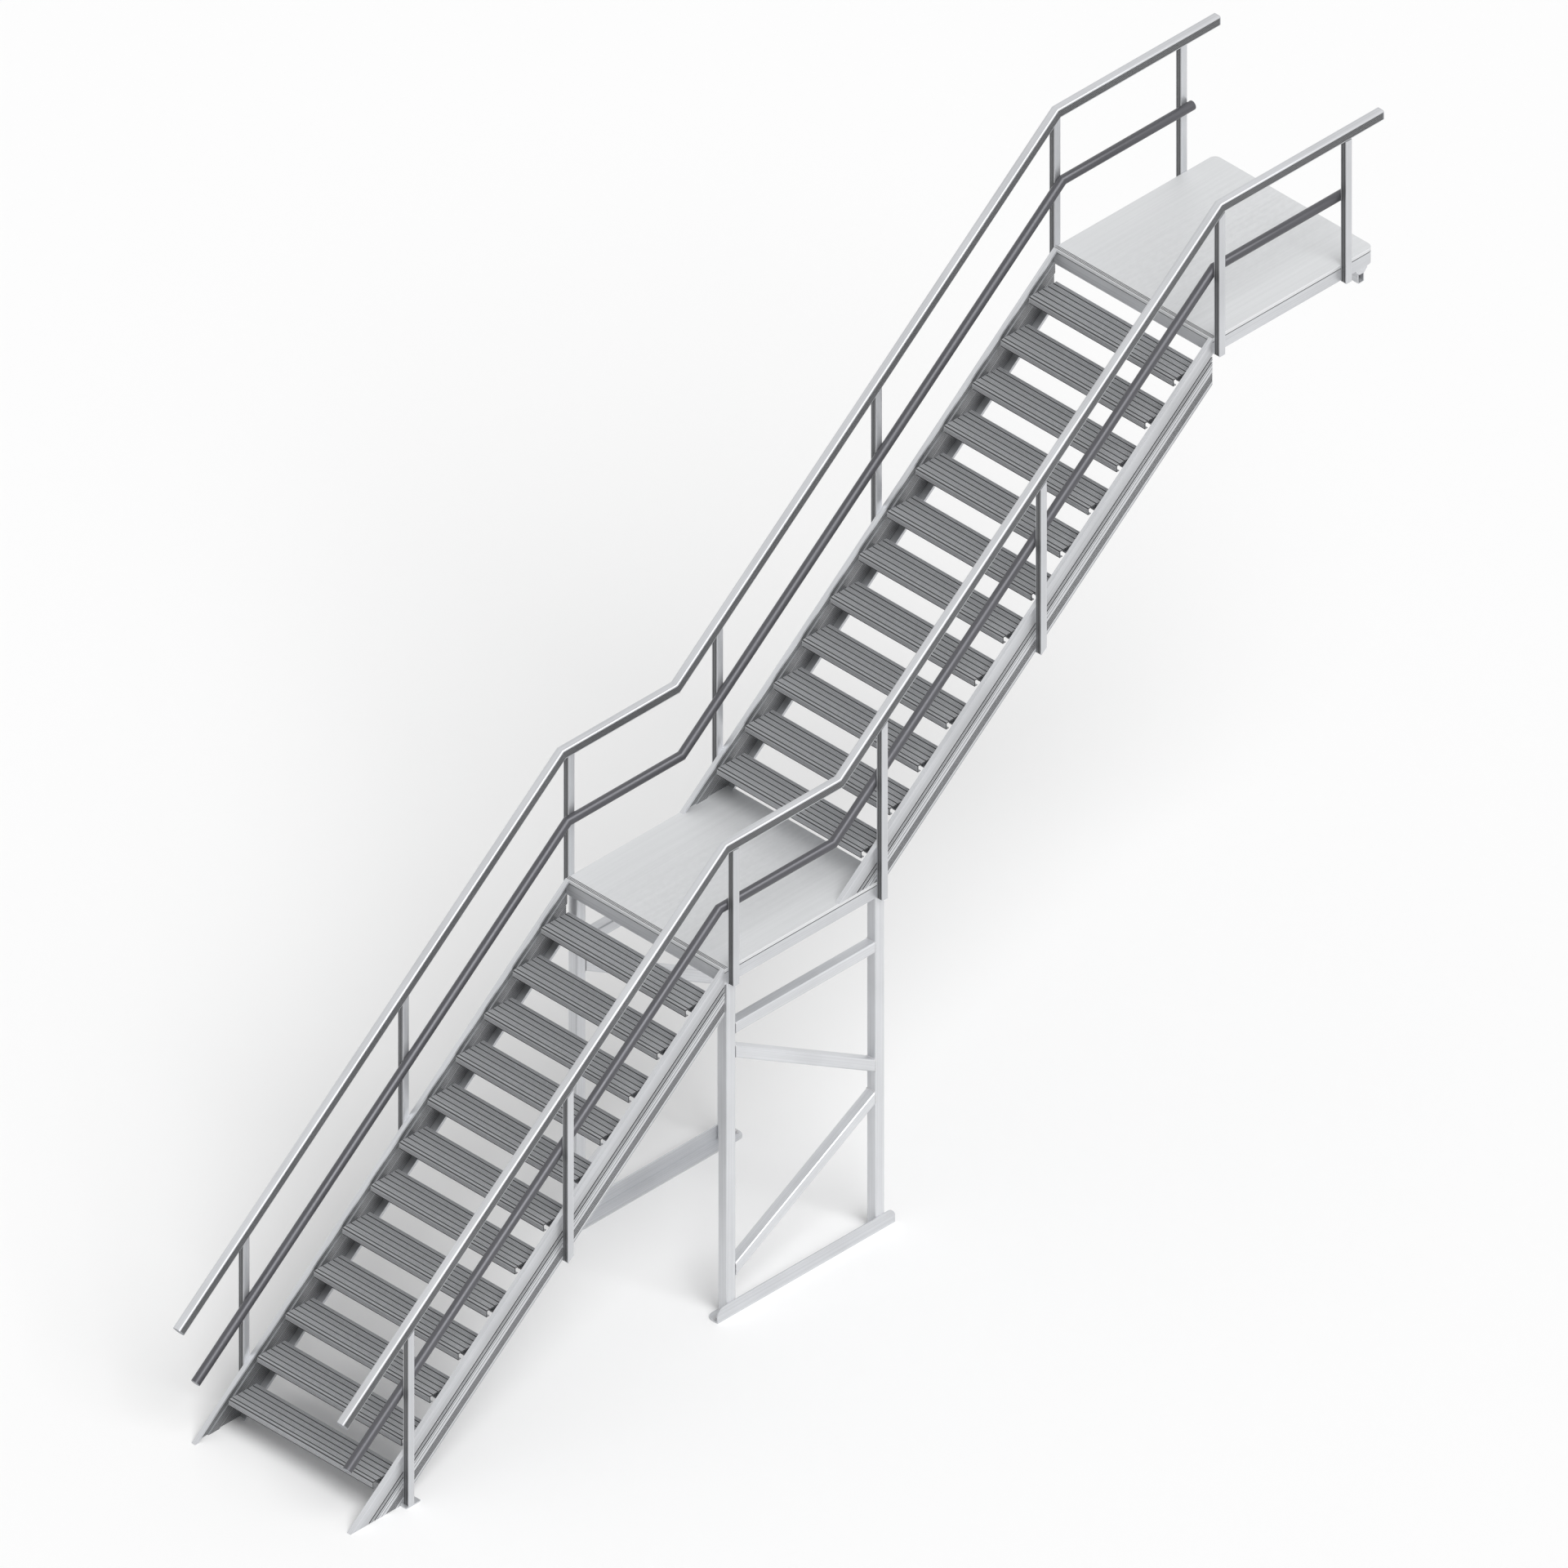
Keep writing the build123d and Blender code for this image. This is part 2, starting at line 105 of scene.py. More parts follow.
HANDRAIL_END = PLATFORM_REAR + 0.038
KNEE_RAIL_RADIUS = 0.030
KNEE_RAIL_HEIGHT = 0.424
KNEE_RAIL_Y = HALF - KNEE_RAIL_RADIUS
KNEE_RAIL_START = 0.0
KNEE_RAIL_END = PLATFORM_REAR - 0.212
CAP_ROOM = 0.004
UNDER_SLOPE = HANDRAIL_HEIGHT + SLOPE_RAIL_LIFT - HANDRAIL_DEPTH / 2 / cos(PITCH)
UNDER_LEVEL = HANDRAIL_HEIGHT - HANDRAIL_DEPTH / 2
RAIL_POST = 0.048
RAIL_POST_CORNER = 0.004
RAIL_POST_FLUTE_PITCH = 0.011
RAIL_POST_GAP = 0.0003
FIRST_POST = 0.452
SECOND_POST = 1.755
LANDING_POSTS = (LANDING_FRONT + 0.052, LANDING_REAR - 0.064)
UPPER_POST = LANDING_REAR + 1.235
PLATFORM_POSTS = (PLATFORM_FRONT + 0.035, PLATFORM_REAR - 0.250)
FOOT_PLATE = (0.118, 0.064, 0.008)
TOWER_TUBE = 0.075
TOWER_CORNER = 0.011
FRONT_UPRIGHT = LANDING_FRONT + 0.057
REAR_UPRIGHT = LANDING_REAR - 0.057
BASE_THICKNESS = 0.008
BASE_START = LANDING_FRONT - 0.064
BASE_LENGTH = 1.450
ANCHOR_INSET = 0.028
TREAD_HALF = HALF - 0.063
TREAD_DEPTH = 0.225
TREAD_HEIGHT = 0.050
NOSING_OVERHANG = 0.030
BRACKET_Y = HALF - 0.015
BRACKET_WALL = 0.006
BRACKET_MIDDLE = TREAD_DEPTH / 2 + 0.015
CENTRE_X = (HANDRAIL_START - HANDRAIL_DEPTH / 2 * sin(PITCH) + HANDRAIL_END) / 2
ALONG_X = Vector((1.0, 0.0, 0.0))
ALONG_Y = Vector((0.0, 1.0, 0.0))
LEVEL = Vector((0.0, 0.0, 1.0))
TILT = Vector((-sin(PITCH), 0.0, cos(PITCH)))
FLIGHTS = {"lower": (0.0, 0.0), "upper": (UPPER_FOOT, LANDING_TOP)}
SIDES = {"right": -1.0, "left": 1.0}

# Heights of the level tube and the two braces at the tower's front and rear uprights
TOWER_BARS = (
    (LANDING_TOP - 0.460, LANDING_TOP - 0.460),
    (LANDING_TOP - 0.604, LANDING_TOP - 1.320),
    (0.282, 0.966),
)

# Looks
UNTURNED = (0.0, 0.0, 0.0)
# Painted shade: the share of the colour left at a groove's bottom, and how much of it flute lands and stringer
# inner faces get
PAINTED_GROOVE_SHADE = 0.12
HALF_SHADE = 0.35
SOFT_LIGHT = 0.52
WHITE = (1.0, 1.0, 1.0, 1.0)


def at(x, y, z):
    """A point of the stairs in the frame of the solids."""
    return Vector((x - CENTRE_X, y, z))


class StairFinish(bpy.types.PropertyGroup):
    """Colours and surface of the aluminium"""
    profile_colour: FloatVectorProperty(
        name="Profiles", description="Colour of stringers and edge beams",
        subtype="COLOR", size=3, min=0.0, max=1.0, default=(0.62, 0.63, 0.65))
    tread_colour: FloatVectorProperty(
        name="Treads", description="Colour of the ribbed treads",
        subtype="COLOR", size=3, min=0.0, max=1.0, default=(0.56, 0.57, 0.59))
    deck_colour: FloatVectorProperty(
        name="Decks", description="Colour of the landing and platform decks",
        subtype="COLOR", size=3, min=0.0, max=1.0, default=(0.70, 0.71, 0.72))
    rail_colour: FloatVectorProperty(
        name="Rails", description="Colour of hand rails and posts",
        subtype="COLOR", size=3, min=0.0, max=1.0, default=(0.60, 0.61, 0.63))
    knee_colour: FloatVectorProperty(
        name="Knee rails", description="Colour of the round knee rails",
        subtype="COLOR", size=3, min=0.0, max=1.0, default=(0.10, 0.10, 0.11))
    tower_colour: FloatVectorProperty(
        name="Tower", description="Colour of the tower tubes",
        subtype="COLOR", size=3, min=0.0, max=1.0, default=(0.68, 0.69, 0.71))
    roughness: FloatProperty(
        name="Roughness", description="Roughness of the satin finish",
        subtype="FACTOR", min=0.0, max=1.0, default=0.42)


class StairDetail(bpy.types.PropertyGroup):
    """Ribs, flutes, fasteners and welds"""
    rib_count: IntProperty(
        name="Tread ribs", description="Places for ribs across one tread", min=2, max=60, default=26)
    groove_every: IntProperty(
        name="Wide grooves", description="Places from one left-out rib to the next", min=2, max=60, default=5)
    rib_spacing: FloatProperty(
        name="Rib spacing", description="Distance from one tread rib to the next",
        subtype="DISTANCE", unit="LENGTH", default=0.0084)
    rib_height: FloatProperty(
        name="Rib height", description="Height of a tread rib",
        subtype="DISTANCE", unit="LENGTH", default=0.004)
    rib_width: FloatProperty(
        name="Rib width", description="Width of a tread rib at its foot",
        subtype="DISTANCE", unit="LENGTH", default=0.006)
    rail_flutes: IntProperty(
        name="Hand rail flutes", description="Flutes on each side of the hand rail", min=0, max=5, default=5)
    post_flutes: IntProperty(
        name="Post flutes", description="Flutes on the front and rear of each rail post",
        min=0, max=4, default=3)
    flute_depth: FloatProperty(
        name="Flute depth", description="Depth of the flutes in hand rail and posts",
        subtype="DISTANCE", unit="LENGTH", default=0.0025)
    anchor_size: FloatProperty(
        name="Anchor bolts", description="Width across the flats of the anchor bolts",
        subtype="DISTANCE", unit="LENGTH", default=0.024)
    bolt_size: FloatProperty(
        name="Bracket bolts", description="Width across the flats of the tread bracket bolts",
        subtype="DISTANCE", unit="LENGTH", default=0.016)
    weld_size: FloatProperty(
        name="Weld bead", description="Thickness of the weld beads on the tower",
        subtype="DISTANCE", unit="LENGTH", default=0.007)


class StairStage(bpy.types.PropertyGroup):
    """Floor, light and camera"""
    floor_colour: FloatVectorProperty(
        name="Floor", description="Colour of the floor",
        subtype="COLOR", size=3, min=0.0, max=1.0, default=(0.95, 0.95, 0.95))
    sun_strength: FloatProperty(
        name="Key light", description="Strength of the key light", min=0.0, default=2.1)
    view_width: FloatProperty(
        name="View width", description="Width that the camera sees",
        subtype="DISTANCE", unit="LENGTH", default=9.062)


# Materials
class Surface:
    """A material with its shader and the nodes that vary it."""

    def __init__(self, name, colour, roughness, metallic):
        self.material = bpy.data.materials.new(name)
        self.material.use_nodes = True
        self.nodes = self.material.node_tree.nodes
        self.links = self.material.node_tree.links
        self.colour = colour
        self.shader = self.nodes["Principled BSDF"]
        self.shader.inputs["Metallic"].default_value = metallic
        self.shader.inputs["Roughness"].default_value = roughness
        self.shader.inputs["Base Color"].default_value = (*colour, 1.0)

    def point(self, space="Object"):
        """Coordinates of the point that is shaded."""
        return self.nodes.new("ShaderNodeTexCoord").outputs[space]

    def noise(self, scale, detail=3.0, turn=UNTURNED, space="Object"):
        """Noise drawn out by the scale, such as the lines that a die leaves."""
        mapping = self.nodes.new("ShaderNodeMapping")
        mapping.vector_type = "TEXTURE"
        mapping.inputs["Rotation"].default_value = turn
        mapping.inputs["Scale"].default_value = scale
        noise = self.nodes.new("ShaderNodeTexNoise")
        noise.inputs["Scale"].default_value = 1.0
        noise.inputs["Detail"].default_value = detail
        self.links.new(self.point(space), mapping.inputs["Vector"])
        self.links.new(mapping.outputs["Vector"], noise.inputs["Vector"])
        return noise.outputs["Fac"]

    def ranged(self, source, low, high, near=0.3, far=0.7):
        """A number between low and high, following the source between near and far."""
        node = self.nodes.new("ShaderNodeMapRange")
        node.inputs["From Min"].default_value = near
        node.inputs["From Max"].default_value = far
        node.inputs["To Min"].default_value = low
        node.inputs["To Max"].default_value = high
        self.links.new(source, node.inputs["Value"])
        return node.outputs["Result"]

    def maths(self, operation, *sources):
        node = self.nodes.new("ShaderNodeMath")
        node.operation = operation
        for socket, source in zip(node.inputs, sources):
            self.links.new(source, socket)
        return node.outputs["Value"]

    def painted_shade(self, tone):
        """The tone darkened by painted shade as far as the piece's shade attribute says: fully in grooves and
        seams, partly on lands and brackets.
        """
        mark = self.nodes.new("ShaderNodeAttribute")
        mark.attribute_name = "shade"
        return self.maths("MULTIPLY", tone, self.ranged(mark.outputs["Fac"], 1.0, PAINTED_GROOVE_SHADE, 0.0, 1.0))

    def tint(self, tone):
        """Make the colour lighter or darker by the tone."""
        node = self.nodes.new("ShaderNodeVectorMath")
        node.operation = "SCALE"
        node.inputs[0].default_value = self.colour
        self.links.new(tone, node.inputs["Scale"])
        self.links.new(node.outputs["Vector"], self.shader.inputs["Base Color"])

    def roughen(self, source):
        self.links.new(source, self.shader.inputs["Roughness"])

    def emboss(self, height, strength, distance):
        """Fine relief from a height."""
        bump = self.nodes.new("ShaderNodeBump")
        bump.inputs["Strength"].default_value = strength
        bump.inputs["Distance"].default_value = distance
        self.links.new(height, bump.inputs["Height"])
        self.links.new(bump.outputs["Normal"], self.shader.inputs["Normal"])


def drawn_aluminium(name, colour, roughness, turn=UNTURNED, space="UV"):
    """Extruded aluminium with long die lines and a faint clouding."""
    metal = Surface(name, colour, roughness, 0.55)
    lines = metal.noise((1.6, 0.006, 0.006), 2.0, turn, space)
    clouds = metal.noise((0.45, 0.45, 0.45))
    fine = metal.noise((0.02, 0.02, 0.02))
    tone = metal.maths("MULTIPLY", metal.ranged(lines, 0.90, 1.06), metal.ranged(clouds, 0.93, 1.04))
    metal.tint(metal.painted_shade(tone))
    cloudy = metal.ranged(clouds, roughness - 0.05, roughness + 0.05)
    metal.roughen(metal.maths("ADD", cloudy, metal.ranged(fine, -0.03, 0.03)))
    metal.emboss(lines, 0.25, 0.0004)
    return metal.material


def walked_aluminium(name, colour, roughness, line, contrast):
    """Mill aluminium under foot: scuffed, and polished along the middle of the stairs."""
    metal = Surface(name, colour, roughness, 0.45)
    lines = metal.noise(line, 2.0)
    scuffs = metal.noise((0.05, 0.03, 0.05), 6.0, (0.3, 0.2, 0.5))
    grain = metal.noise((0.003, 0.003, 0.003), 2.0)
    split = metal.nodes.new("ShaderNodeSeparateXYZ")
    metal.links.new(metal.point(), split.inputs["Vector"])
    walked = metal.ranged(metal.maths("ABSOLUTE", split.outputs["Y"]), 1.0, 0.0, 0.12, 0.5)
    worn = metal.maths("MULTIPLY", walked, metal.ranged(scuffs, 0.0, 1.0, 0.4, 0.62))
    streaks = metal.ranged(lines, 1.0 - contrast, 1.0 + contrast)
    tone = metal.maths("MULTIPLY", streaks, metal.ranged(worn, 1.0, 1.0 + contrast, 0.0, 1.0))
    metal.tint(metal.painted_shade(tone))
    metal.roughen(metal.ranged(worn, roughness, roughness - 0.15, 0.0, 1.0))
    metal.emboss(grain, 0.5, 0.0005)
    return metal.material


def speckled(name, colour, roughness, metallic, size):
    """A small part's finish, faintly mottled."""
    part = Surface(name, colour, roughness, metallic)
    mottle = part.noise((size, size, size))
    part.tint(part.ranged(mottle, 0.85, 1.12))
    part.roughen(part.ranged(mottle, roughness - 0.08, roughness + 0.08))
    return part.material


def finish(name):
    """The material of that name, made the first time it is asked for."""
    if name in bpy.data.materials:
        return bpy.data.materials[name]
    look = bpy.context.scene.stair_finish
    rough = look.roughness
    across = (0.0, 0.0, pi / 2)
    ribs, ridges = (0.006, 1.2, 0.006), (1.2, 0.02, 0.02)
    makers = {
        "stringer_profile": lambda: drawn_aluminium(name, look.profile_colour, rough),
        "edge_beam": lambda: drawn_aluminium(name, look.profile_colour, rough + 0.04),
        "cross_bearer": lambda: drawn_aluminium(name, look.profile_colour, rough, across, "Object"),
        "base_angle": lambda: drawn_aluminium(name, look.profile_colour, rough + 0.08, UNTURNED, "Object"),
        "rail_profile": lambda: drawn_aluminium(name, look.rail_colour, rough - 0.06),
        "knee_tube": lambda: drawn_aluminium(name, look.knee_colour, rough - 0.04),
        "tower_tube": lambda: drawn_aluminium(name, look.tower_colour, rough - 0.02),
        "ribbed_tread": lambda: walked_aluminium(name, look.tread_colour, rough + 0.08, ribs, 0.07),
        "grip_deck": lambda: walked_aluminium(name, look.deck_colour, rough + 0.18, ridges, 0.025),
        "grip_strip": lambda: speckled(name, (0.05, 0.05, 0.055), 0.8, 0.0, 0.003),
        "zinc_bolt": lambda: speckled(name, (0.55, 0.55, 0.56), 0.36, 0.9, 0.008),
        "weld_bead": lambda: speckled(name, (0.62, 0.62, 0.63), 0.5, 0.8, 0.006),
        "grey_cap": lambda: speckled(name, (0.30, 0.31, 0.33), 0.55, 0.0, 0.003),
    }
    return makers[name]()


# Shapes
def corner_points(width, depth, radius, steps=4):
    """Rounded rectangle about the origin, anticlockwise from its lower right corner."""
    points = []
    corners = ((1, -1, -90), (1, 1, 0), (-1, 1, 90), (-1, -1, 180))
    for a, b, start in corners:
        for i in range(steps + 1):
            angle = radians(start + 90.0 * i / steps)
            x = a * (width / 2 - radius) + radius * cos(angle)
            y = b * (depth / 2 - radius) + radius * sin(angle)
            points.append((x, y, 0.0))
    return points


def fluted_points(width, depth, radius, flutes, cut, pitch):
    """Rounded rectangle with round-bottomed flutes along its two sides of the given depth."""
    plain = corner_points(width, depth, radius)
    step = len(plain) // 4
    flute = ((-0.43, 0.0), (-0.41, 0.8), (-0.2, 1.0), (0.2, 1.0), (0.41, 0.8), (0.43, 0.0))
    right, left = [], []
    for i in range(flutes):
        middle = (i - (flutes - 1) / 2) * pitch
        for offset, sink in flute:
            # Painted shade: full at the flute bottoms, and at least HALF_SHADE across the whole fluted band
            dark = max(sink, HALF_SHADE)
            right.append((width / 2 - sink * cut, middle + offset * pitch, dark))
            left.append((sink * cut - width / 2, -middle - offset * pitch, dark))
    left.sort(key=lambda point: -point[1])
    return plain[:step] + right + plain[step:3 * step] + left + plain[3 * step:]


def circle_points(radius, count=40):
    """A circle about the origin."""
    return [(radius * cos(2 * pi * i / count), radius * sin(2 * pi * i / count), 0.0) for i in range(count)]


def groove(middle, width, depth=0.0022):
    """A square groove in the outer face of a stringer, with painted shade at its bottom."""
    low, high = middle - width / 2, middle + width / 2
    return [(0.0, low, 0.0), (depth, low + 0.0002, 1.0), (depth, high - 0.0002, 1.0), (0.0, high, 0.0)]


def lining(face, high, low, pitch=0.010, depth=0.0008):
    """Fine grooves down an inner face of a stringer, with painted shade at their bottoms and half painted
    shade on the lands between.
    """
    points = []
    for i in range(int((high - low) / pitch)):
        top = high - 0.003 - pitch * i
        points += [(face, top, HALF_SHADE), (face - depth, top - 0.0002, 1.0)]
        points += [(face - depth, top - 0.0058, 1.0), (face, top - 0.0060, HALF_SHADE)]
    return points


def bolt_channel(middle):
    """A channel behind a narrow slot in the outer face of a stringer, for sliding bolt heads."""
    slot, channel = 0.0045, 0.0095
    lip, back = 0.003, 0.011
    # Painted shade inside the slot and channel, and a little at the slot's edges
    return [
        (0.0, middle - slot, 0.3), (lip, middle - slot, 1.0), (lip, middle - channel, 1.0),
        (back, middle - channel, 1.0), (back, middle + channel, 1.0), (lip, middle + channel, 1.0),
        (lip, middle + slot, 1.0), (0.0, middle + slot, 0.3),
    ]


def stringer_points(mirror):
    """Half-open channel with its top edge on 0, two bolt channels, score lines and a ribbed lower band."""
    web, box = STRINGER_WEB, HALF - BRACKET_Y
    top = ((0.0, 0.0), (0.030, 0.0), (0.030, -0.014), (0.025, -0.014), (0.025, -web))
    bottom = ((0.055, -0.244), (0.055, -0.232), (0.060, -0.232), (0.060, -0.250), (0.0, -0.250))
    points = [(a, b, 0.0) for a, b in top]
    # Inner faces: half painted shade on the lands, full painted shade in their fine grooves
    for face, high, low in ((web, -web, -0.0785), (box, -0.0785, -0.1335), (web, -0.1335, -0.244)):
        points += [(face, high, HALF_SHADE)] + lining(face, high, low) + [(face, low, HALF_SHADE)]
    points += [(a, b, 0.0) for a, b in bottom]
    points += groove(-0.2435, 0.003)
    for i in range(5):
        points += groove(0.010 * i - STRINGER_DEPTH + 0.026, 0.0080)
    points += groove(-0.158, 0.004) + groove(-0.137, 0.004) + bolt_channel(-0.120)
    points += groove(-0.1095, 0.004) + groove(-0.1025, 0.004) + bolt_channel(-0.092)
    return [(a, -b if mirror else b, sink) for a, b, sink in points]


def shade_layer(bm):
    """The layer that says how much painted shade each vertex gets."""
    return bm.verts.layers.float.get("shade") or bm.verts.layers.float.new("shade")


def rim_lengths(places):
    """Distance along a closed outline to each of its places, and back to the first."""
    lengths = [0.0]
    for a, b in zip(places, places[1:] + places[:1]):
        lengths.append(lengths[-1] + dist(a, b))
    return lengths


def band(bm, one, two):
    """The faces between two rings of vertices."""
    count = len(one)
    return [bm.faces.new((one[j], one[(j + 1) % count], two[(j + 1) % count], two[j])) for j in range(count)]


def sweep(bm, outline, points, across, first=None, last=None, squeeze=None):
    """A closed bar with the outline drawn along the points, mitred at bends, its ends square or on a plane."""
    lay = bm.loops.layers.uv.verify()
    shade = shade_layer(bm)
    runs = [(b - a).normalized() for a, b in zip(points, points[1:])]
    rim = rim_lengths([point[:2] for point in outline])
    rings, lengths = [], [0.0]
    for i, point in enumerate(points):
        run = runs[max(i - 1, 0)]
        normal = run
        if i == 0 and first is not None:
            normal = first
        elif i == len(points) - 1 and last is not None:
            normal = last
        elif 0 < i < len(points) - 1:
            normal = (runs[i - 1] + runs[i]).normalized()
        up = run.cross(across)
        ring = []
        for a, b, sink in outline:
            place = point + across * a + up * b
            place -= run * ((place - point).dot(normal) / run.dot(normal))
            ring.append(bm.verts.new(squeeze(place) if squeeze else place))
            ring[-1][shade] = sink
        rings.append(ring)
        if i:
            lengths.append(lengths[-1] + (point - points[i - 1]).length)
    made = []
    for i, (one, two) in enumerate(zip(rings, rings[1:])):
        faces = band(bm, one, two)
        along = (lengths[i], lengths[i], lengths[i + 1], lengths[i + 1])
        for j, face in enumerate(faces):
            for loop, u, v in zip(face.loops, along, (rim[j], rim[j + 1], rim[j + 1], rim[j])):
                loop[lay].uv = (u, v)
        made += faces
    made += [bm.faces.new(rings[0]), bm.faces.new(rings[-1])]
    bmesh.ops.recalc_face_normals(bm, faces=made)


def loft(bm, one, two, shades):
    """A solid between two rings of places, with a shade for each place of a ring."""
    shade = shade_layer(bm)
    rings = [[bm.verts.new(place) for place in ring] for ring in (one, two)]
    for ring in rings:
        for vert, sink in zip(ring, shades):
            vert[shade] = sink
    made = [bm.faces.new(rings[0]), bm.faces.new(rings[1])] + band(bm, *rings)
    bmesh.ops.recalc_face_normals(bm, faces=made)


def plan_points(front, rear, corner, inset):
    """Outline of a landing in plan, anticlockwise and moved inwards by the inset."""
    low, high, half = front + inset, rear - inset, HALF - inset
    if corner == 0.0:
        return [(low, half), (low, -half), (high, -half), (high, half)]
    points = [(low, half), (low, -half)]
    radius = corner - inset
    for sign, start in ((-1.0, -90.0), (1.0, 0.0)):
        for i in range(9):
            angle = radians(start + 11.25 * i)
            points.append((high - radius + radius * cos(angle), sign * (half - radius) + radius * sin(angle)))
    return points


def shell(bm, plan, levels, hollow):
    """A solid through plan outlines given as inset, height and shade: a ring if hollow, otherwise closed."""
    lay = bm.loops.layers.uv.verify()
    shade = shade_layer(bm)
    rings = []
    for inset, z, sink in levels:
        rings.append([bm.verts.new(at(x, y, z)) for x, y in plan_points(*plan, inset)])
        for vert in rings[-1]:
            vert[shade] = sink
    rim = rim_lengths([vert.co for vert in rings[0]])
    pairs = list(zip(rings, rings[1:]))
    if hollow:
        pairs.append((rings[-1], rings[0]))
    made = []
    for i, (one, two) in enumerate(pairs):
        faces = band(bm, one, two)
        for j, face in enumerate(faces):
            for loop, u, v in zip(face.loops, (rim[j], rim[j + 1], rim[j + 1], rim[j]), (i, i, i + 1, i + 1)):
                loop[lay].uv = (u, v * 0.04)
        made += faces
    if not hollow:
        made += [bm.faces.new(rings[0]), bm.faces.new(rings[-1])]
    bmesh.ops.recalc_face_normals(bm, faces=made)


def piece(name, bm, material):
    """The finished mesh as an object of the stairs."""
    mesh = bpy.data.meshes.new(name)
    bm.to_mesh(mesh)
    bm.free()
    obj = bpy.data.objects.new(name, mesh)
    bpy.context.scene.collection.objects.link(obj)
    mesh.materials.append(finish(material))
    smooth(mesh, 35.0)
    return obj


def smooth(mesh, angle):
    """Smooth shading where faces meet at less than the angle, in degrees."""
    mesh.shade_smooth()
    mesh.set_sharp_from_angle(angle=radians(angle))


def settle(part, slot, *nodes):
    """Let the piece ride on the stairs, in place of the nodes; the slot is not used."""
    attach(part, "root")
    if nodes:
        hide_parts(*nodes)


# Geometry Nodes
class Tree:
    """A node tree with named inputs, ending in Realize Instances and Set Material."""

    def __init__(self, name, inputs):
        self.group = bpy.data.node_groups.new(name, "GeometryNodeTree")
        face = self.group.interface
        face.new_socket("Geometry", in_out="INPUT", socket_type="NodeSocketGeometry")
        self.ids = {}
        for label, kind in inputs:
            item = face.new_socket(label, in_out="INPUT", socket_type="NodeSocket" + kind)
            self.ids[label] = item.identifier
        item = face.new_socket("Material", in_out="INPUT", socket_type="NodeSocketMaterial")
        self.ids["Material"] = item.identifier
        face.new_socket("Geometry", in_out="OUTPUT", socket_type="NodeSocketGeometry")
        self.entry = self.add("NodeGroupInput")

    def add(self, kind, **inputs):
        node = self.group.nodes.new(kind)
        for label, value in inputs.items():
            self.put(node, label.replace("_", " "), value)
        return node

    def put(self, node, label, value):
        socket = node.inputs[label]
        if isinstance(value, bpy.types.NodeSocket):
            self.group.links.new(value, socket)
        else:
            socket.default_value = value

    def given(self, label):
        return self.entry.outputs[label]

    def maths(self, operation, a, b=0.0):
        node = self.group.nodes.new("ShaderNodeMath")
        node.operation = operation
        for socket, value in zip(node.inputs, (a, b)):
            if isinstance(value, bpy.types.NodeSocket):
                self.group.links.new(value, socket)
            else:
                socket.default_value = value
        return node.outputs["Value"]

    def vector(self, x=0.0, y=0.0, z=0.0):
        node = self.group.nodes.new("ShaderNodeCombineXYZ")
        for label, value in (("X", x), ("Y", y), ("Z", z)):
            self.put(node, label, value)
        return node.outputs["Vector"]

    def join(self, *parts):
        node = self.group.nodes.new("GeometryNodeJoinGeometry")
        for part in reversed(parts):
            self.group.links.new(part, node.inputs[0])
        return node.outputs[0]

    def end(self, geometry):
        real = self.add("GeometryNodeRealizeInstances", Geometry=geometry).outputs[0]
        final = self.add("GeometryNodeSetMaterial", Geometry=real, Material=self.given("Material"))
        out = self.group.nodes.new("NodeGroupOutput")
        self.group.links.new(final.outputs[0], out.inputs[0])

    def grow(self, name, mesh, material, **values):
        """Run the tree on a mesh and give its result as a plain object."""
        obj = bpy.data.objects.new(name, mesh)
        bpy.context.scene.collection.objects.link(obj)
        modifier = obj.modifiers.new("Grow", "NODES")
        modifier.node_group = self.group
        modifier[self.ids["Material"]] = finish(material)
        for label, value in values.items():
            modifier[self.ids[label.replace("_", " ")]] = value
        bpy.context.view_layer.update()
        grown = obj.evaluated_get(bpy.context.evaluated_depsgraph_get())
        plain = bpy.data.meshes.new_from_object(grown)
        obj.modifiers.clear()
        obj.data = plain
        plain.name = name
        return obj


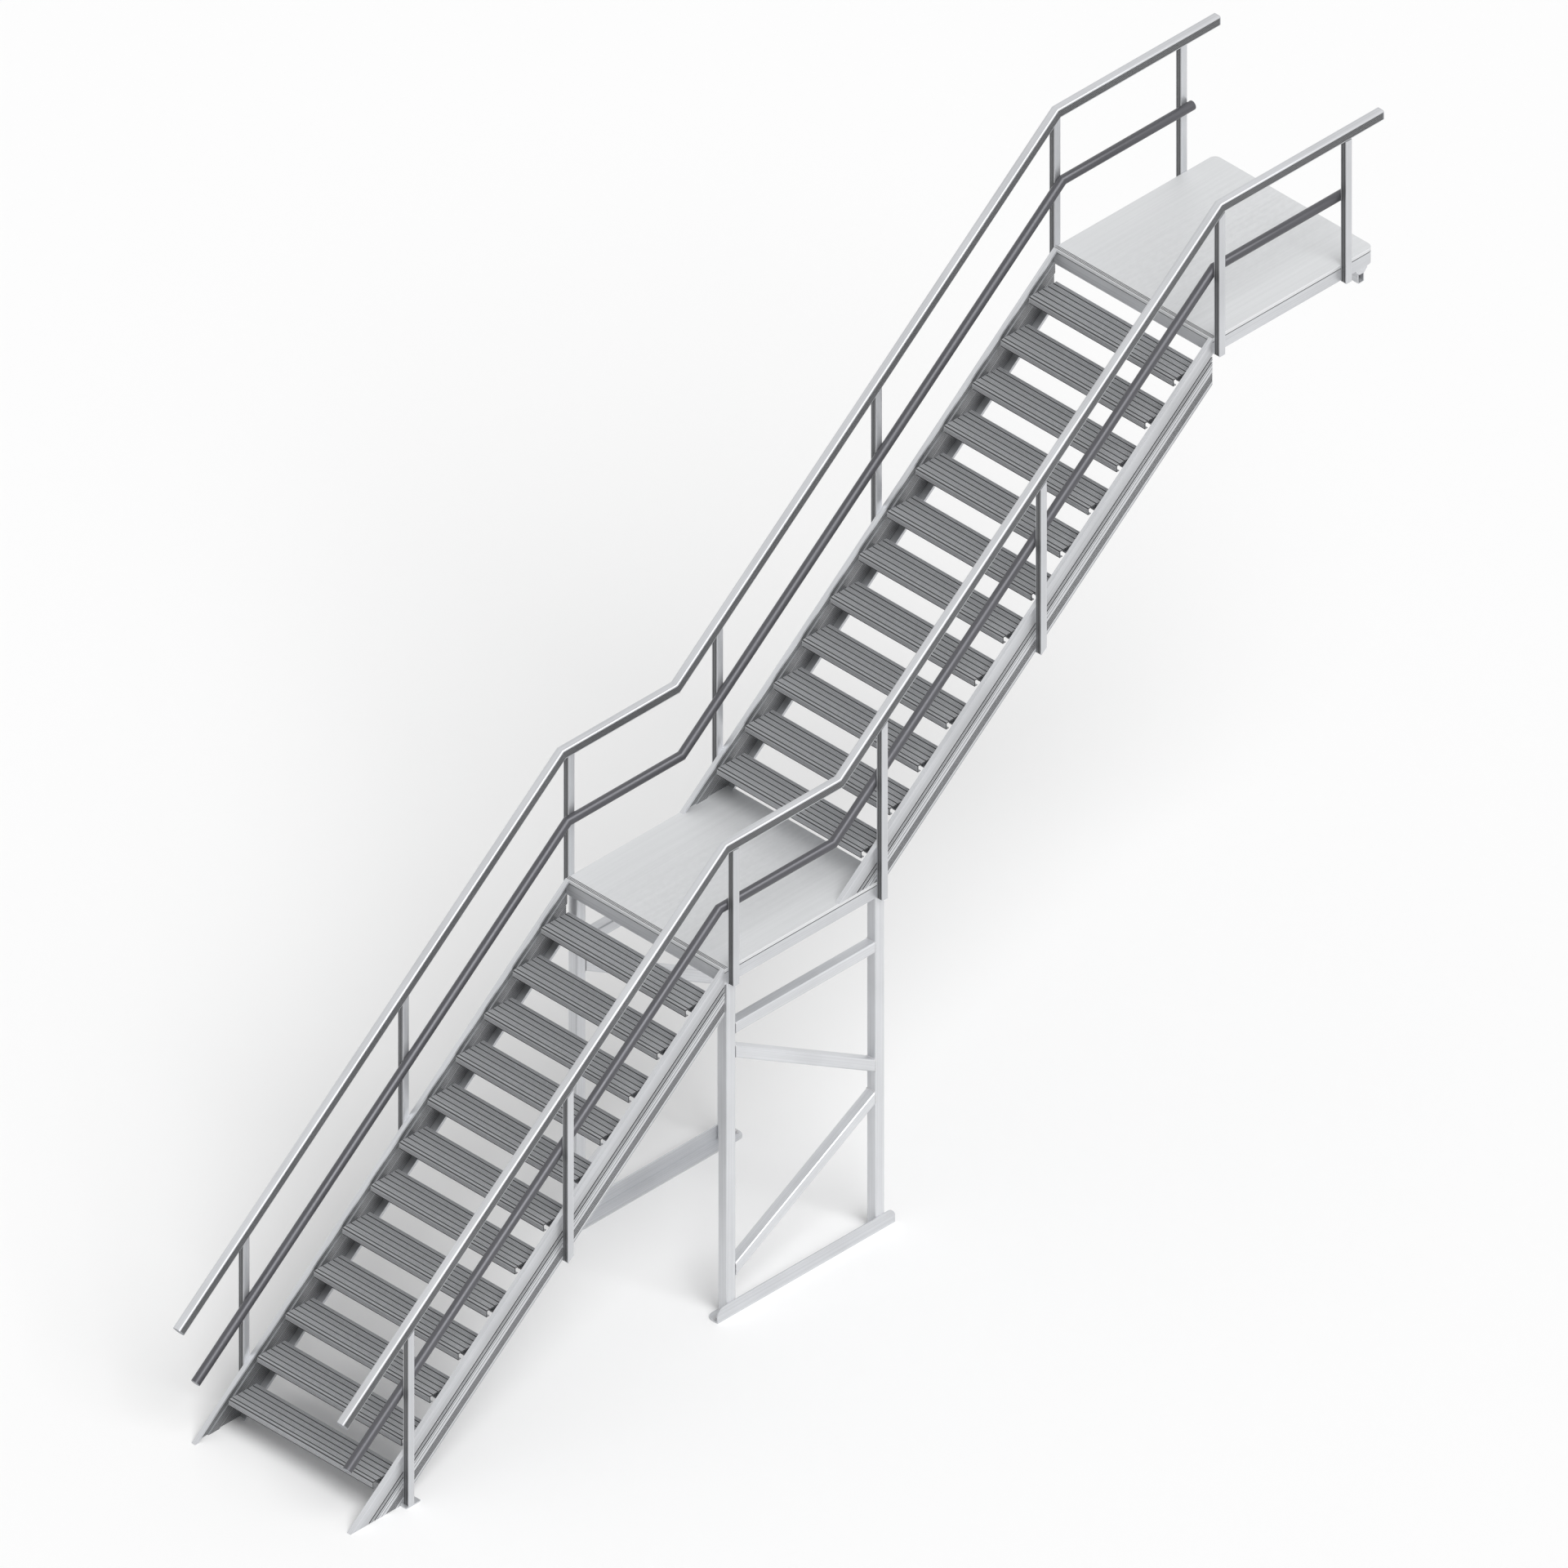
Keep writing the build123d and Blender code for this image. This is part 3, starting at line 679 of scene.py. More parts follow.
def flight_tree():
    """One ribbed tread, repeated up a flight."""
    t = Tree("Ribbed flight", [
        ("Steps", "Int"), ("Going", "Float"), ("Rise", "Float"), ("Ribs", "Int"), ("Spacing", "Float"),
        ("Height", "Float"), ("Width", "Float"), ("Length", "Float"), ("Start", "Vector"),
        ("Front ribs", "Int"), ("Groove every", "Int")])
    first_rib, first_front_rib, taper, early_ribs = 0.0112, -0.012, -0.35, 2.0
    height = t.given("Height")
    bar = t.add("GeometryNodeMeshCube", Size=t.vector(t.given("Width"), t.given("Length"), height))
    place = t.group.nodes.new("GeometryNodeInputPosition").outputs[0]
    split = t.add("ShaderNodeSeparateXYZ", Vector=place)
    top = t.maths("GREATER_THAN", split.outputs["Z"], 0.0)
    narrow = t.maths("MULTIPLY", t.maths("MULTIPLY", split.outputs["X"], taper), top)
    lift = t.maths("MULTIPLY", height, 0.5)
    # Painted shade at the foot of each rib, none on its top
    rib = t.add("GeometryNodeStoreNamedAttribute", Geometry=bar.outputs["Mesh"], Name="shade")
    rib.data_type = "FLOAT"
    t.put(rib, "Value", t.maths("SUBTRACT", 1.0, top))
    rib = t.add("GeometryNodeSetPosition", Geometry=rib.outputs[0], Offset=t.vector(narrow, 0.0, lift))
    row = t.add("GeometryNodeMeshLine", Count=t.given("Ribs"), Offset=t.vector(t.given("Spacing")))
    t.put(row, "Start Location", t.vector(first_rib, 0.0, t.maths("MULTIPLY", height, -1.0)))
    index = t.group.nodes.new("GeometryNodeInputIndex").outputs[0]
    turn = t.maths("FLOORED_MODULO", t.maths("SUBTRACT", index, early_ribs), t.given("Groove every"))
    top_ribs = t.add("GeometryNodeInstanceOnPoints", Points=row.outputs[0], Instance=rib.outputs[0])
    t.put(top_ribs, "Selection", t.maths("GREATER_THAN", turn, 0.5))
    column = t.add("GeometryNodeMeshLine", Count=t.given("Front ribs"))
    t.put(column, "Start Location", t.vector(height, 0.0, first_front_rib))
    t.put(column, "Offset", t.vector(0.0, 0.0, t.maths("MULTIPLY", t.given("Spacing"), -1.0)))
    front_ribs = t.add("GeometryNodeInstanceOnPoints", Points=column.outputs[0], Instance=rib.outputs[0])
    front_ribs.inputs["Rotation"].default_value = (0.0, -pi / 2, 0.0)
    tread = t.join(t.given("Geometry"), top_ribs.outputs[0], front_ribs.outputs[0])
    stair = t.add("GeometryNodeMeshLine", Count=t.given("Steps"))
    t.put(stair, "Start Location", t.given("Start"))
    t.put(stair, "Offset", t.vector(t.given("Going"), 0.0, t.given("Rise")))
    group = t.add("GeometryNodeGeometryToInstance", Geometry=tread)
    flight = t.add("GeometryNodeInstanceOnPoints", Points=stair.outputs[0], Instance=group.outputs[0])
    t.end(flight.outputs[0])
    return t


def bolt_tree():
    """Hexagon bolts with washers, one on each vertex and square to the axis stored there."""
    t = Tree("Hexagon bolts", [("Across flats", "Float")])
    flats = t.given("Across flats")
    washer = t.add("GeometryNodeMeshCylinder", Vertices=24, Radius=t.maths("MULTIPLY", flats, 0.95))
    t.put(washer, "Depth", t.maths("MULTIPLY", flats, 0.14))
    head = t.add("GeometryNodeMeshCylinder", Vertices=6, Radius=t.maths("MULTIPLY", flats, 0.577))
    t.put(head, "Depth", t.maths("MULTIPLY", flats, 0.46))
    crown = t.add("GeometryNodeMeshCone", Vertices=24, Radius_Bottom=t.maths("MULTIPLY", flats, 0.50))
    t.put(crown, "Radius Top", t.maths("MULTIPLY", flats, 0.42))
    t.put(crown, "Depth", t.maths("MULTIPLY", flats, 0.06))
    parts = []
    for mesh, lift in ((washer, 0.07), (head, 0.37), (crown, 0.60)):
        shift = t.vector(0.0, 0.0, t.maths("MULTIPLY", flats, lift))
        moved = t.add("GeometryNodeTransform", Geometry=mesh.outputs["Mesh"], Translation=shift)
        parts.append(moved.outputs[0])
    axis = t.group.nodes.new("GeometryNodeInputNamedAttribute")
    axis.data_type = "FLOAT_VECTOR"
    axis.inputs["Name"].default_value = "axis"
    turn = t.group.nodes.new("FunctionNodeAlignRotationToVector")
    turn.axis = "Z"
    t.group.links.new(axis.outputs["Attribute"], turn.inputs["Vector"])
    spots = t.add("GeometryNodeInstanceOnPoints", Points=t.given("Geometry"), Instance=t.join(*parts))
    t.group.links.new(turn.outputs["Rotation"], spots.inputs["Rotation"])
    t.end(spots.outputs[0])
    return t


def weld_tree():
    """A rippled weld bead along the edges of the mesh."""
    t = Tree("Weld beads", [("Bead", "Float"), ("Step", "Float"), ("Seed", "Int")])
    path = t.add("GeometryNodeMeshToCurve", Mesh=t.given("Geometry"))
    even = t.group.nodes.new("GeometryNodeResampleCurve")
    even.mode = "LENGTH"
    t.put(even, "Curve", path.outputs[0])
    t.put(even, "Length", t.given("Step"))
    radius = t.maths("MULTIPLY", t.given("Bead"), 0.5)
    drop = t.add("GeometryNodeMeshIcoSphere", Radius=radius, Subdivisions=2)
    size = t.group.nodes.new("FunctionNodeRandomValue")
    size.data_type = "FLOAT"
    for socket in size.inputs:
        if socket.type == "VALUE" and socket.name == "Min":
            socket.default_value = 0.85
        elif socket.type == "VALUE" and socket.name == "Max":
            socket.default_value = 1.12
    t.put(size, "Seed", t.given("Seed"))
    result = next(socket for socket in size.outputs if socket.type == "VALUE")
    spots = t.add("GeometryNodeInstanceOnPoints", Points=even.outputs[0], Instance=drop.outputs[0])
    t.put(spots, "Scale", result)
    t.end(spots.outputs[0])
    return t


def marks(places):
    """A mesh with one vertex for each place, and the axis of the bolt that sits there."""
    mesh = bpy.data.meshes.new("marks")
    mesh.from_pydata([place for place, axis in places], [], [])
    store = mesh.attributes.new("axis", "FLOAT_VECTOR", "POINT")
    for item, (place, axis) in zip(store.data, places):
        item.vector = axis
    return mesh


def hoops(rings):
    """A mesh of closed rings of edges."""
    points, edges = [], []
    for ring in rings:
        start = len(points)
        points += ring
        edges += [(start + i, start + (i + 1) % len(ring)) for i in range(len(ring))]
    mesh = bpy.data.meshes.new("hoops")
    mesh.from_pydata(points, edges, [])
    return mesh


def tread_spots(flight):
    """Nosing tip of each tread of a flight."""
    foot_x, foot_z = FLIGHTS[flight]
    for k in range(RISERS - 1):
        rise = FIRST_RISE + RISE * k
        yield foot_x + rise / SLOPE - NOSING_OVERHANG, foot_z + rise


def rail_points(height, y, start, end):
    """Centre line of a rail: slope, level, slope and level again."""
    over_slope = height + SLOPE_RAIL_LIFT
    over_platform = height + PLATFORM_RAIL_LIFT
    early = SLOPE_RAIL_LIFT / SLOPE
    late = (over_platform - over_slope) / SLOPE
    return [
        at(start, y, start * SLOPE + over_slope),
        at(LANDING_FRONT - early, y, LANDING_TOP + height),
        at(UPPER_FOOT - early, y, LANDING_TOP + height),
        at(PLATFORM_FRONT + late, y, PLATFORM_TOP + over_platform),
        at(end, y, PLATFORM_TOP + over_platform),
    ]


def hand_line(sign):
    """Centre line of the hand rail on one side."""
    return rail_points(HANDRAIL_HEIGHT, sign * HANDRAIL_Y, HANDRAIL_START, HANDRAIL_END)


def knee_line(sign):
    """Centre line of the knee rail on one side."""
    return rail_points(KNEE_RAIL_HEIGHT, sign * KNEE_RAIL_Y, KNEE_RAIL_START, KNEE_RAIL_END)


def shortened(points):
    """The line with both its ends moved in, so that the caps close the rail."""
    points[0] += (points[1] - points[0]).normalized() * CAP_ROOM
    points[-1] += (points[-2] - points[-1]).normalized() * CAP_ROOM
    return points


def bar_slope(front, rear):
    """Rise of a tower bar between the two uprights, over its run."""
    return (rear - front) / (REAR_UPRIGHT - FRONT_UPRIGHT)


# Operators
class STAIRS_OT_profiles(bpy.types.Operator):
    """Give all the solids their finish"""
    bl_idname = "stairs.profiles"
    bl_label = "Solids"

    def execute(self, context):
        looks = {
            "stringer": "stringer_profile",
            "tread": "ribbed_tread",
            "frame": "cross_bearer",
            "deck": "grip_deck",
            "bearer": "cross_bearer",
            "angle": "base_angle",
        }
        for name, node in frame["nodes"].items():
            look = next((look for word, look in looks.items() if word in name), "tower_tube")
            node.data.materials.clear()
            node.data.materials.append(finish(look))
        return {"FINISHED"}


class STAIRS_OT_stringers(bpy.types.Operator):
    """Make the ribbed stringers, cut level at the foot and plumb at the head"""
    bl_idname = "stairs.stringers"
    bl_label = "Stringers"

    def execute(self, context):
        for flight, (foot_x, foot_z) in FLIGHTS.items():
            for side, sign in SIDES.items():
                bm = bmesh.new()
                y = sign * HALF
                ends = [at(foot_x, y, foot_z), at(foot_x + FLIGHT_RUN, y, foot_z + FLIGHT_RISE)]
                sweep(bm, stringer_points(sign > 0), ends, -sign * ALONG_Y, LEVEL, ALONG_X)
                bar = piece(f"{flight}_{side}_stringer_profile", bm, "stringer_profile")
                settle(bar, "stringer", f"{flight}_{side}_stringer")
        return {"FINISHED"}


class STAIRS_OT_treads(bpy.types.Operator):
    """Make the ribbed treads and their end brackets"""
    bl_idname = "stairs.treads"
    bl_label = "Treads"

    def execute(self, context):
        detail = context.scene.stair_detail
        plank = self.plank(-detail.rib_height, detail.rib_height)
        for flight in FLIGHTS:
            bm = bmesh.new()
            ends = [[(x, y, z) for x, z, sink in plank] for y in (-TREAD_HALF, TREAD_HALF)]
            loft(bm, *ends, [sink for x, z, sink in plank])
            for sign in SIDES.values():
                self.bracket(bm, sign)
            mesh = bpy.data.meshes.new("tread")
            bm.to_mesh(mesh)
            bm.free()
            x, z = next(tread_spots(flight))
            treads = flight_tree().grow(
                f"{flight}_treads", mesh, "ribbed_tread", Steps=RISERS - 1, Going=GOING, Rise=RISE,
                Ribs=detail.rib_count, Spacing=detail.rib_spacing, Height=detail.rib_height,
                Width=detail.rib_width, Length=TREAD_HALF * 2, Start=at(x, 0.0, z), Front_ribs=4,
                Groove_every=detail.groove_every)
            settle(treads, "tread", *[f"{flight}_tread_{k:02d}" for k in range(1, RISERS)])
        return {"FINISHED"}

    def plank(self, top, front):
        """Section of a tread below its ribs, in X and Z, with front, middle and rear legs on toes."""
        low, toe, under = -TREAD_HEIGHT, 0.004 - TREAD_HEIGHT, top - 0.005
        points = [
            (front + 0.003, top), (front, top - 0.003), (front, low), (0.027, low), (0.027, toe),
            (0.010, toe), (0.010, under), (0.1205, under), (0.1205, toe), (0.1075, toe), (0.1075, low),
            (0.1375, low), (0.1375, toe), (0.1245, toe), (0.1245, under), (0.221, under), (0.221, toe),
            (0.201, toe), (0.201, low), (TREAD_DEPTH, low), (TREAD_DEPTH, top),
        ]
        # Painted shade on the plank's top between the ribs and on the front of the nosing
        return [(x, z, 1.0 if z >= top - 0.004 or x <= front else 0.0) for x, z in points]

    def bracket(self, bm, sign):
        """Angle bracket under one end of the tread, with a web across its bend."""
        wall, half, web = BRACKET_WALL, 0.060, 0.004
        deep = -TREAD_HEIGHT
        shelf = TREAD_HALF - 0.042
        section = [
            (BRACKET_Y, deep), (BRACKET_Y, deep - 0.054), (BRACKET_Y - wall, deep - 0.054),
            (BRACKET_Y - wall, deep - wall - web), (BRACKET_Y - wall - web, deep - wall),
            (shelf, deep - wall), (shelf, deep),
        ]
        along = (BRACKET_MIDDLE - half, BRACKET_MIDDLE + half)
        ends = [[(x, sign * y, z) for y, z in section] for x in along]
        # The whole bracket gets half painted shade, as it sits in the shade under the tread
        loft(bm, *ends, [0.5] * len(section))


class STAIRS_OT_decks(bpy.types.Operator):
    """Make the decks of landing and platform, their edge beams, ribs, bearers and grip strips"""
    bl_idname = "stairs.decks"
    bl_label = "Decks and edge beams"

    def execute(self, context):
        levels = {
            "landing": (LANDING_FRONT, LANDING_REAR, LANDING_TOP, 0.0),
            "platform": (PLATFORM_FRONT, PLATFORM_REAR, PLATFORM_TOP, PLATFORM_CORNER),
        }
        for name, (front, rear, top, corner) in levels.items():
            plan = (front, rear, corner)
            settle(self.plate(f"{name}_deck_plate", plan, top), "deck", f"{name}_deck")
            settle(self.beams(f"{name}_edge_beams", plan, top), "frame", f"{name}_frame")
            settle(self.strips(f"{name}_grip_strips", front, top), "deck")
        return {"FINISHED"}

    def plate(self, name, plan, top):
        """Deck with a seam groove under its edge, and ribs along X between the bays below."""
        front, rear, corner = plan
        low = top - DECK_THICKNESS
        ceiling = top - DECK_SKIN
        bm = bmesh.new()
        # Painted shade in the seam groove under the deck's edge
        shell(bm, plan, [
            (DECK_RIM, ceiling, 0.0), (DECK_RIM, low, 0.0), (SEAM, low, 1.0), (SEAM, low + 0.0025, 1.0),
            (0.0, low + SEAM, 0.0), (0.0, top - 0.002, 0.0), (0.002, top, 0.0)], False)
        rib = corner_points(0.004, ceiling - low, 0.0, 1)[::2]
        side = 0.045 - HALF
        for i in range(1, DECK_BAYS):
            y = side - 2 * side / DECK_BAYS * i
            ends = [at(x, y, (low + ceiling) / 2) for x in (front + DECK_RIM, rear - DECK_RIM)]
            sweep(bm, rib, ends, ALONG_Y)
        return piece(name, bm, "grip_deck")

    def beams(self, name, plan, top):
        """Edge beam all round, open inwards, and bearers across it."""
        front, rear, corner = plan
        low, base, wall = top - DECK_THICKNESS, top - EDGE_DEPTH, BEAM_WALL
        bm = bmesh.new()
        # Painted shade in the seam groove along the beam's top edge
        shell(bm, plan, [
            (DECK_RIM, base, 0.0), (0.002, base, 0.0), (0.0, base + 0.002, 0.0), (0.0, low - SEAM, 0.0),
            (SEAM, low - 0.0025, 1.0), (SEAM, low, 1.0), (DECK_RIM, low, 0.0), (DECK_RIM, low - wall, 0.0),
            (wall, low - wall, 0.0), (wall, base + wall, 0.0), (DECK_RIM, base + wall, 0.0)], True)
        reach = ALONG_Y * (HALF - wall)
        outline = corner_points(0.040, low - base, 0.003, 2)
        for i in range(1, DECK_BEARERS + 1):
            middle = at(front + (rear - front) * i / (DECK_BEARERS + 1), 0.0, (base + low) / 2)
            sweep(bm, outline, [middle - reach, middle + reach], ALONG_X)
        return piece(name, bm, "edge_beam")

    def strips(self, name, front, top):
        """Grip strips across the deck along its front edge."""
        bm = bmesh.new()
        reach = ALONG_Y * (HALF - 0.004)
        strip = [(-0.002, -0.001, 0.0), (0.002, -0.001, 0.0), (0.0014, 0.0008, 0.0), (-0.0014, 0.0008, 0.0)]
        for i in range(GRIP_STRIPS):
            middle = at(front + 0.008 + 0.010 * i, 0.0, top)
            sweep(bm, strip, [middle - reach, middle + reach], ALONG_X)
        return piece(name, bm, "grip_strip")


class STAIRS_OT_handrails(bpy.types.Operator):
    """Make the fluted hand rails"""
    bl_idname = "stairs.handrails"
    bl_label = "Hand rails"

    def execute(self, context):
        detail = context.scene.stair_detail
        outline = fluted_points(
            HANDRAIL_WIDTH, HANDRAIL_DEPTH, HANDRAIL_CORNER, detail.rail_flutes, detail.flute_depth,
            HANDRAIL_FLUTE_PITCH)
        for side, sign in SIDES.items():
            bm = bmesh.new()
            sweep(bm, outline, shortened(hand_line(sign)), ALONG_Y)
            settle(piece(f"{side}_handrail_profile", bm, "rail_profile"), "handrail", f"{side}_handrail")
        return {"FINISHED"}


class STAIRS_OT_knee_rails(bpy.types.Operator):
    """Make the round knee rails"""
    bl_idname = "stairs.knee_rails"
    bl_label = "Knee rails"

    def execute(self, context):
        for side, sign in SIDES.items():
            bm = bmesh.new()
            sweep(bm, circle_points(KNEE_RAIL_RADIUS), shortened(knee_line(sign)), ALONG_Y)
            settle(piece(f"{side}_knee_rail_tube", bm, "knee_tube"), "rail", f"{side}_knee_rail")
        return {"FINISHED"}


class STAIRS_OT_end_caps(bpy.types.Operator):
    """Close the rail ends with pressed-in caps"""
    bl_idname = "stairs.end_caps"
    bl_label = "End caps"

    def execute(self, context):
        hand_rim, hand_crown = [
            corner_points(HANDRAIL_WIDTH - less, HANDRAIL_DEPTH - less, radius)
            for less, radius in ((0.001, HANDRAIL_CORNER), (0.007, 0.008))]
        knee_rim, knee_crown = [circle_points(KNEE_RAIL_RADIUS - less) for less in (0.0005, 0.004)]
        bm = bmesh.new()
        for sign in SIDES.values():
            hand = (hand_line(sign), hand_rim, hand_crown)
            knee = (knee_line(sign), knee_rim, knee_crown)
            for points, rim, crown in (hand, knee):
                for end, inner in ((points[0], points[1]), (points[-1], points[-2])):
                    inward = (inner - end).normalized()
                    sweep(bm, rim, [end + inward * 0.0015, end + inward * 0.008], ALONG_Y)
                    sweep(bm, crown, [end, end + inward * 0.003], ALONG_Y)
        settle(piece("rail_end_caps", bm, "grey_cap"), "handrail")
        return {"FINISHED"}


class STAIRS_OT_rail_posts(bpy.types.Operator):
    """Make the fluted rail posts and their foot plates"""
    bl_idname = "stairs.rail_posts"
    bl_label = "Rail posts"

    def execute(self, context):
        detail = context.scene.stair_detail
        outline = fluted_points(
            RAIL_POST, RAIL_POST - 2 * RAIL_POST_GAP, RAIL_POST_CORNER, detail.post_flutes,
            detail.flute_depth, RAIL_POST_FLUTE_PITCH)
        length, width, thickness = FOOT_PLATE
        plate = corner_points(length, width, 0.006)
        for side, sign in SIDES.items():
            bm = bmesh.new()
            y = sign * (HALF + RAIL_POST / 2 - RAIL_POST_GAP)
            for x, low, high, foot, head in post_cuts():
                bend = self.under_bend if x == PLATFORM_POSTS[0] else None
                sweep(bm, outline, [at(x, y, low), at(x, y, high)], ALONG_X, foot, head, bend)
            x, y = FIRST_POST + 0.015, sign * (HALF + RAIL_POST / 2 - 0.008)
            sweep(bm, plate, [at(x, y, 0.0), at(x, y, thickness)], ALONG_X)
            settle(piece(f"{side}_post_profiles", bm, "rail_profile"), "rail", f"{side}_rail_posts")
        return {"FINISHED"}

    def under_bend(self, place):
        """Keep a point of the front platform post below the sloping part of the hand rail."""
        slope_z = PLATFORM_TOP + UNDER_SLOPE + (place.x + CENTRE_X - PLATFORM_FRONT) * SLOPE
        return Vector((place.x, place.y, min(place.z, slope_z)))


def post_cuts():
    """Place, foot height, head height and cutting planes of the seven posts of one side."""
    drop = STRINGER_DEPTH / cos(PITCH)
    landing_foot = LANDING_TOP - EDGE_DEPTH
    platform_foot = PLATFORM_TOP - EDGE_DEPTH
    platform_head = PLATFORM_TOP + UNDER_LEVEL + PLATFORM_RAIL_LIFT
    front, rear = LANDING_POSTS
    rear_head = LANDING_TOP + (rear - UPPER_FOOT) * SLOPE + UNDER_SLOPE
    upper_z = LANDING_TOP + (UPPER_POST - UPPER_FOOT) * SLOPE
    return [
        (FIRST_POST, FOOT_PLATE[2], FIRST_POST * SLOPE + UNDER_SLOPE, LEVEL, TILT),
        (SECOND_POST, SECOND_POST * SLOPE - drop, SECOND_POST * SLOPE + UNDER_SLOPE, TILT, TILT),
        (front, landing_foot, LANDING_TOP + UNDER_LEVEL, LEVEL, LEVEL),
        (rear, landing_foot, rear_head, LEVEL, TILT),
        (UPPER_POST, upper_z - drop, upper_z + UNDER_SLOPE, TILT, TILT),
        (PLATFORM_POSTS[0], platform_foot, platform_head, LEVEL, LEVEL),
        (PLATFORM_POSTS[1], platform_foot, platform_head, LEVEL, LEVEL),
    ]


class STAIRS_OT_tower(bpy.types.Operator):
    """Make the square tubes of the tower"""
    bl_idname = "stairs.tower"
    bl_label = "Tower"

    def execute(self, context):
        for side, sign in SIDES.items():
            y = sign * (HALF - TOWER_TUBE / 2)
            low, high = BASE_THICKNESS, LANDING_TOP - EDGE_DEPTH
            uprights = [[at(x, y, low), at(x, y, high)] for x in (FRONT_UPRIGHT, REAR_UPRIGHT)]
            level, *braces = [self.between(y, front, rear) for front, rear in TOWER_BARS]
            self.tubes(f"{side}_uprights", f"{side}_tower_posts", uprights)
            self.tubes(f"{side}_level_tube", f"{side}_tower_rail", [level], ALONG_X)
            self.tubes(f"{side}_diagonals", f"{side}_tower_braces", braces, ALONG_X)
        return {"FINISHED"}

    def between(self, y, front, rear):
        """Ends of a bar on the faces of the two uprights."""
        inset = TOWER_TUBE / 2
        lift = inset * bar_slope(front, rear)
        return [at(FRONT_UPRIGHT + inset, y, front + lift), at(REAR_UPRIGHT - inset, y, rear - lift)]

    def tubes(self, name, node, lines, cut=None):
        """Square tubes along the lines, with both their ends cut along the same plane."""
        outline = corner_points(TOWER_TUBE, TOWER_TUBE, TOWER_CORNER)
        bm = bmesh.new()
        for line in lines:
            sweep(bm, outline, line, ALONG_Y, cut, cut)
        settle(piece(name, bm, "tower_tube"), "tower", node)


class STAIRS_OT_welds(bpy.types.Operator):
    """Run weld beads round the tube ends of the tower"""
    bl_idname = "stairs.welds"
    bl_label = "Weld beads"

    def execute(self, context):
        bead = context.scene.stair_detail.weld_size
        outline = corner_points(TOWER_TUBE, TOWER_TUBE, TOWER_CORNER, 3)
        clear = 0.001
        rings = []
        for sign in SIDES.values():
            y = sign * (HALF - TOWER_TUBE / 2)
            for front, rear in TOWER_BARS:
                slope = bar_slope(front, rear)
                stretch = (1.0 + slope * slope) ** 0.5
                for x, z, out in ((FRONT_UPRIGHT, front, 1.0), (REAR_UPRIGHT, rear, -1.0)):
                    face = x + out * (TOWER_TUBE / 2 + clear)
                    height = z + out * TOWER_TUBE / 2 * slope
                    rings.append([at(face, y + a, height + b * stretch) for a, b, sink in outline])
            for x in (FRONT_UPRIGHT, REAR_UPRIGHT):
                rings.append([at(x + a, y + b, BASE_THICKNESS + clear) for a, b, sink in outline])
        welds = weld_tree().grow(
            "tower_welds", hoops(rings), "weld_bead", Bead=bead, Step=bead * 0.55, Seed=7)
        smooth(welds.data, 60.0)
        settle(welds, "tower")
        return {"FINISHED"}


class STAIRS_OT_bolts(bpy.types.Operator):
    """Put in the anchor bolts and the bolts of the tread brackets"""
    bl_idname = "stairs.bolts"
    bl_label = "Bolts"

    def execute(self, context):
        detail = context.scene.stair_detail
        anchors, brackets = [], []
        for sign in SIDES.values():
            for x in (BASE_START + ANCHOR_INSET, BASE_START + BASE_LENGTH - ANCHOR_INSET):
                anchors.append((at(x, sign * (HALF - 0.026), BASE_THICKNESS), LEVEL))
            wall = at(PLATFORM_REAR - 0.122, sign * 0.450, PLATFORM_TOP - EDGE_DEPTH - 0.060)
            anchors.append((wall, -ALONG_X))
            for flight in FLIGHTS:
                for x, z in tread_spots(flight):
                    for shift in (BRACKET_MIDDLE - 0.035, BRACKET_MIDDLE + 0.035):
                        place = at(x + shift, sign * (BRACKET_Y - BRACKET_WALL), z - TREAD_HEIGHT - 0.034)
                        brackets.append((place, -sign * ALONG_Y))
        tree = bolt_tree()
        rows = (
            ("anchor_bolts", anchors, detail.anchor_size, "base"),
            ("bracket_bolts", brackets, detail.bolt_size, "tread"),
        )
        for name, places, size, slot in rows:
            bolts = tree.grow(name, marks(places), "zinc_bolt", Across_flats=size)
            smooth(bolts.data, 30.0)
            settle(bolts, slot)
        return {"FINISHED"}


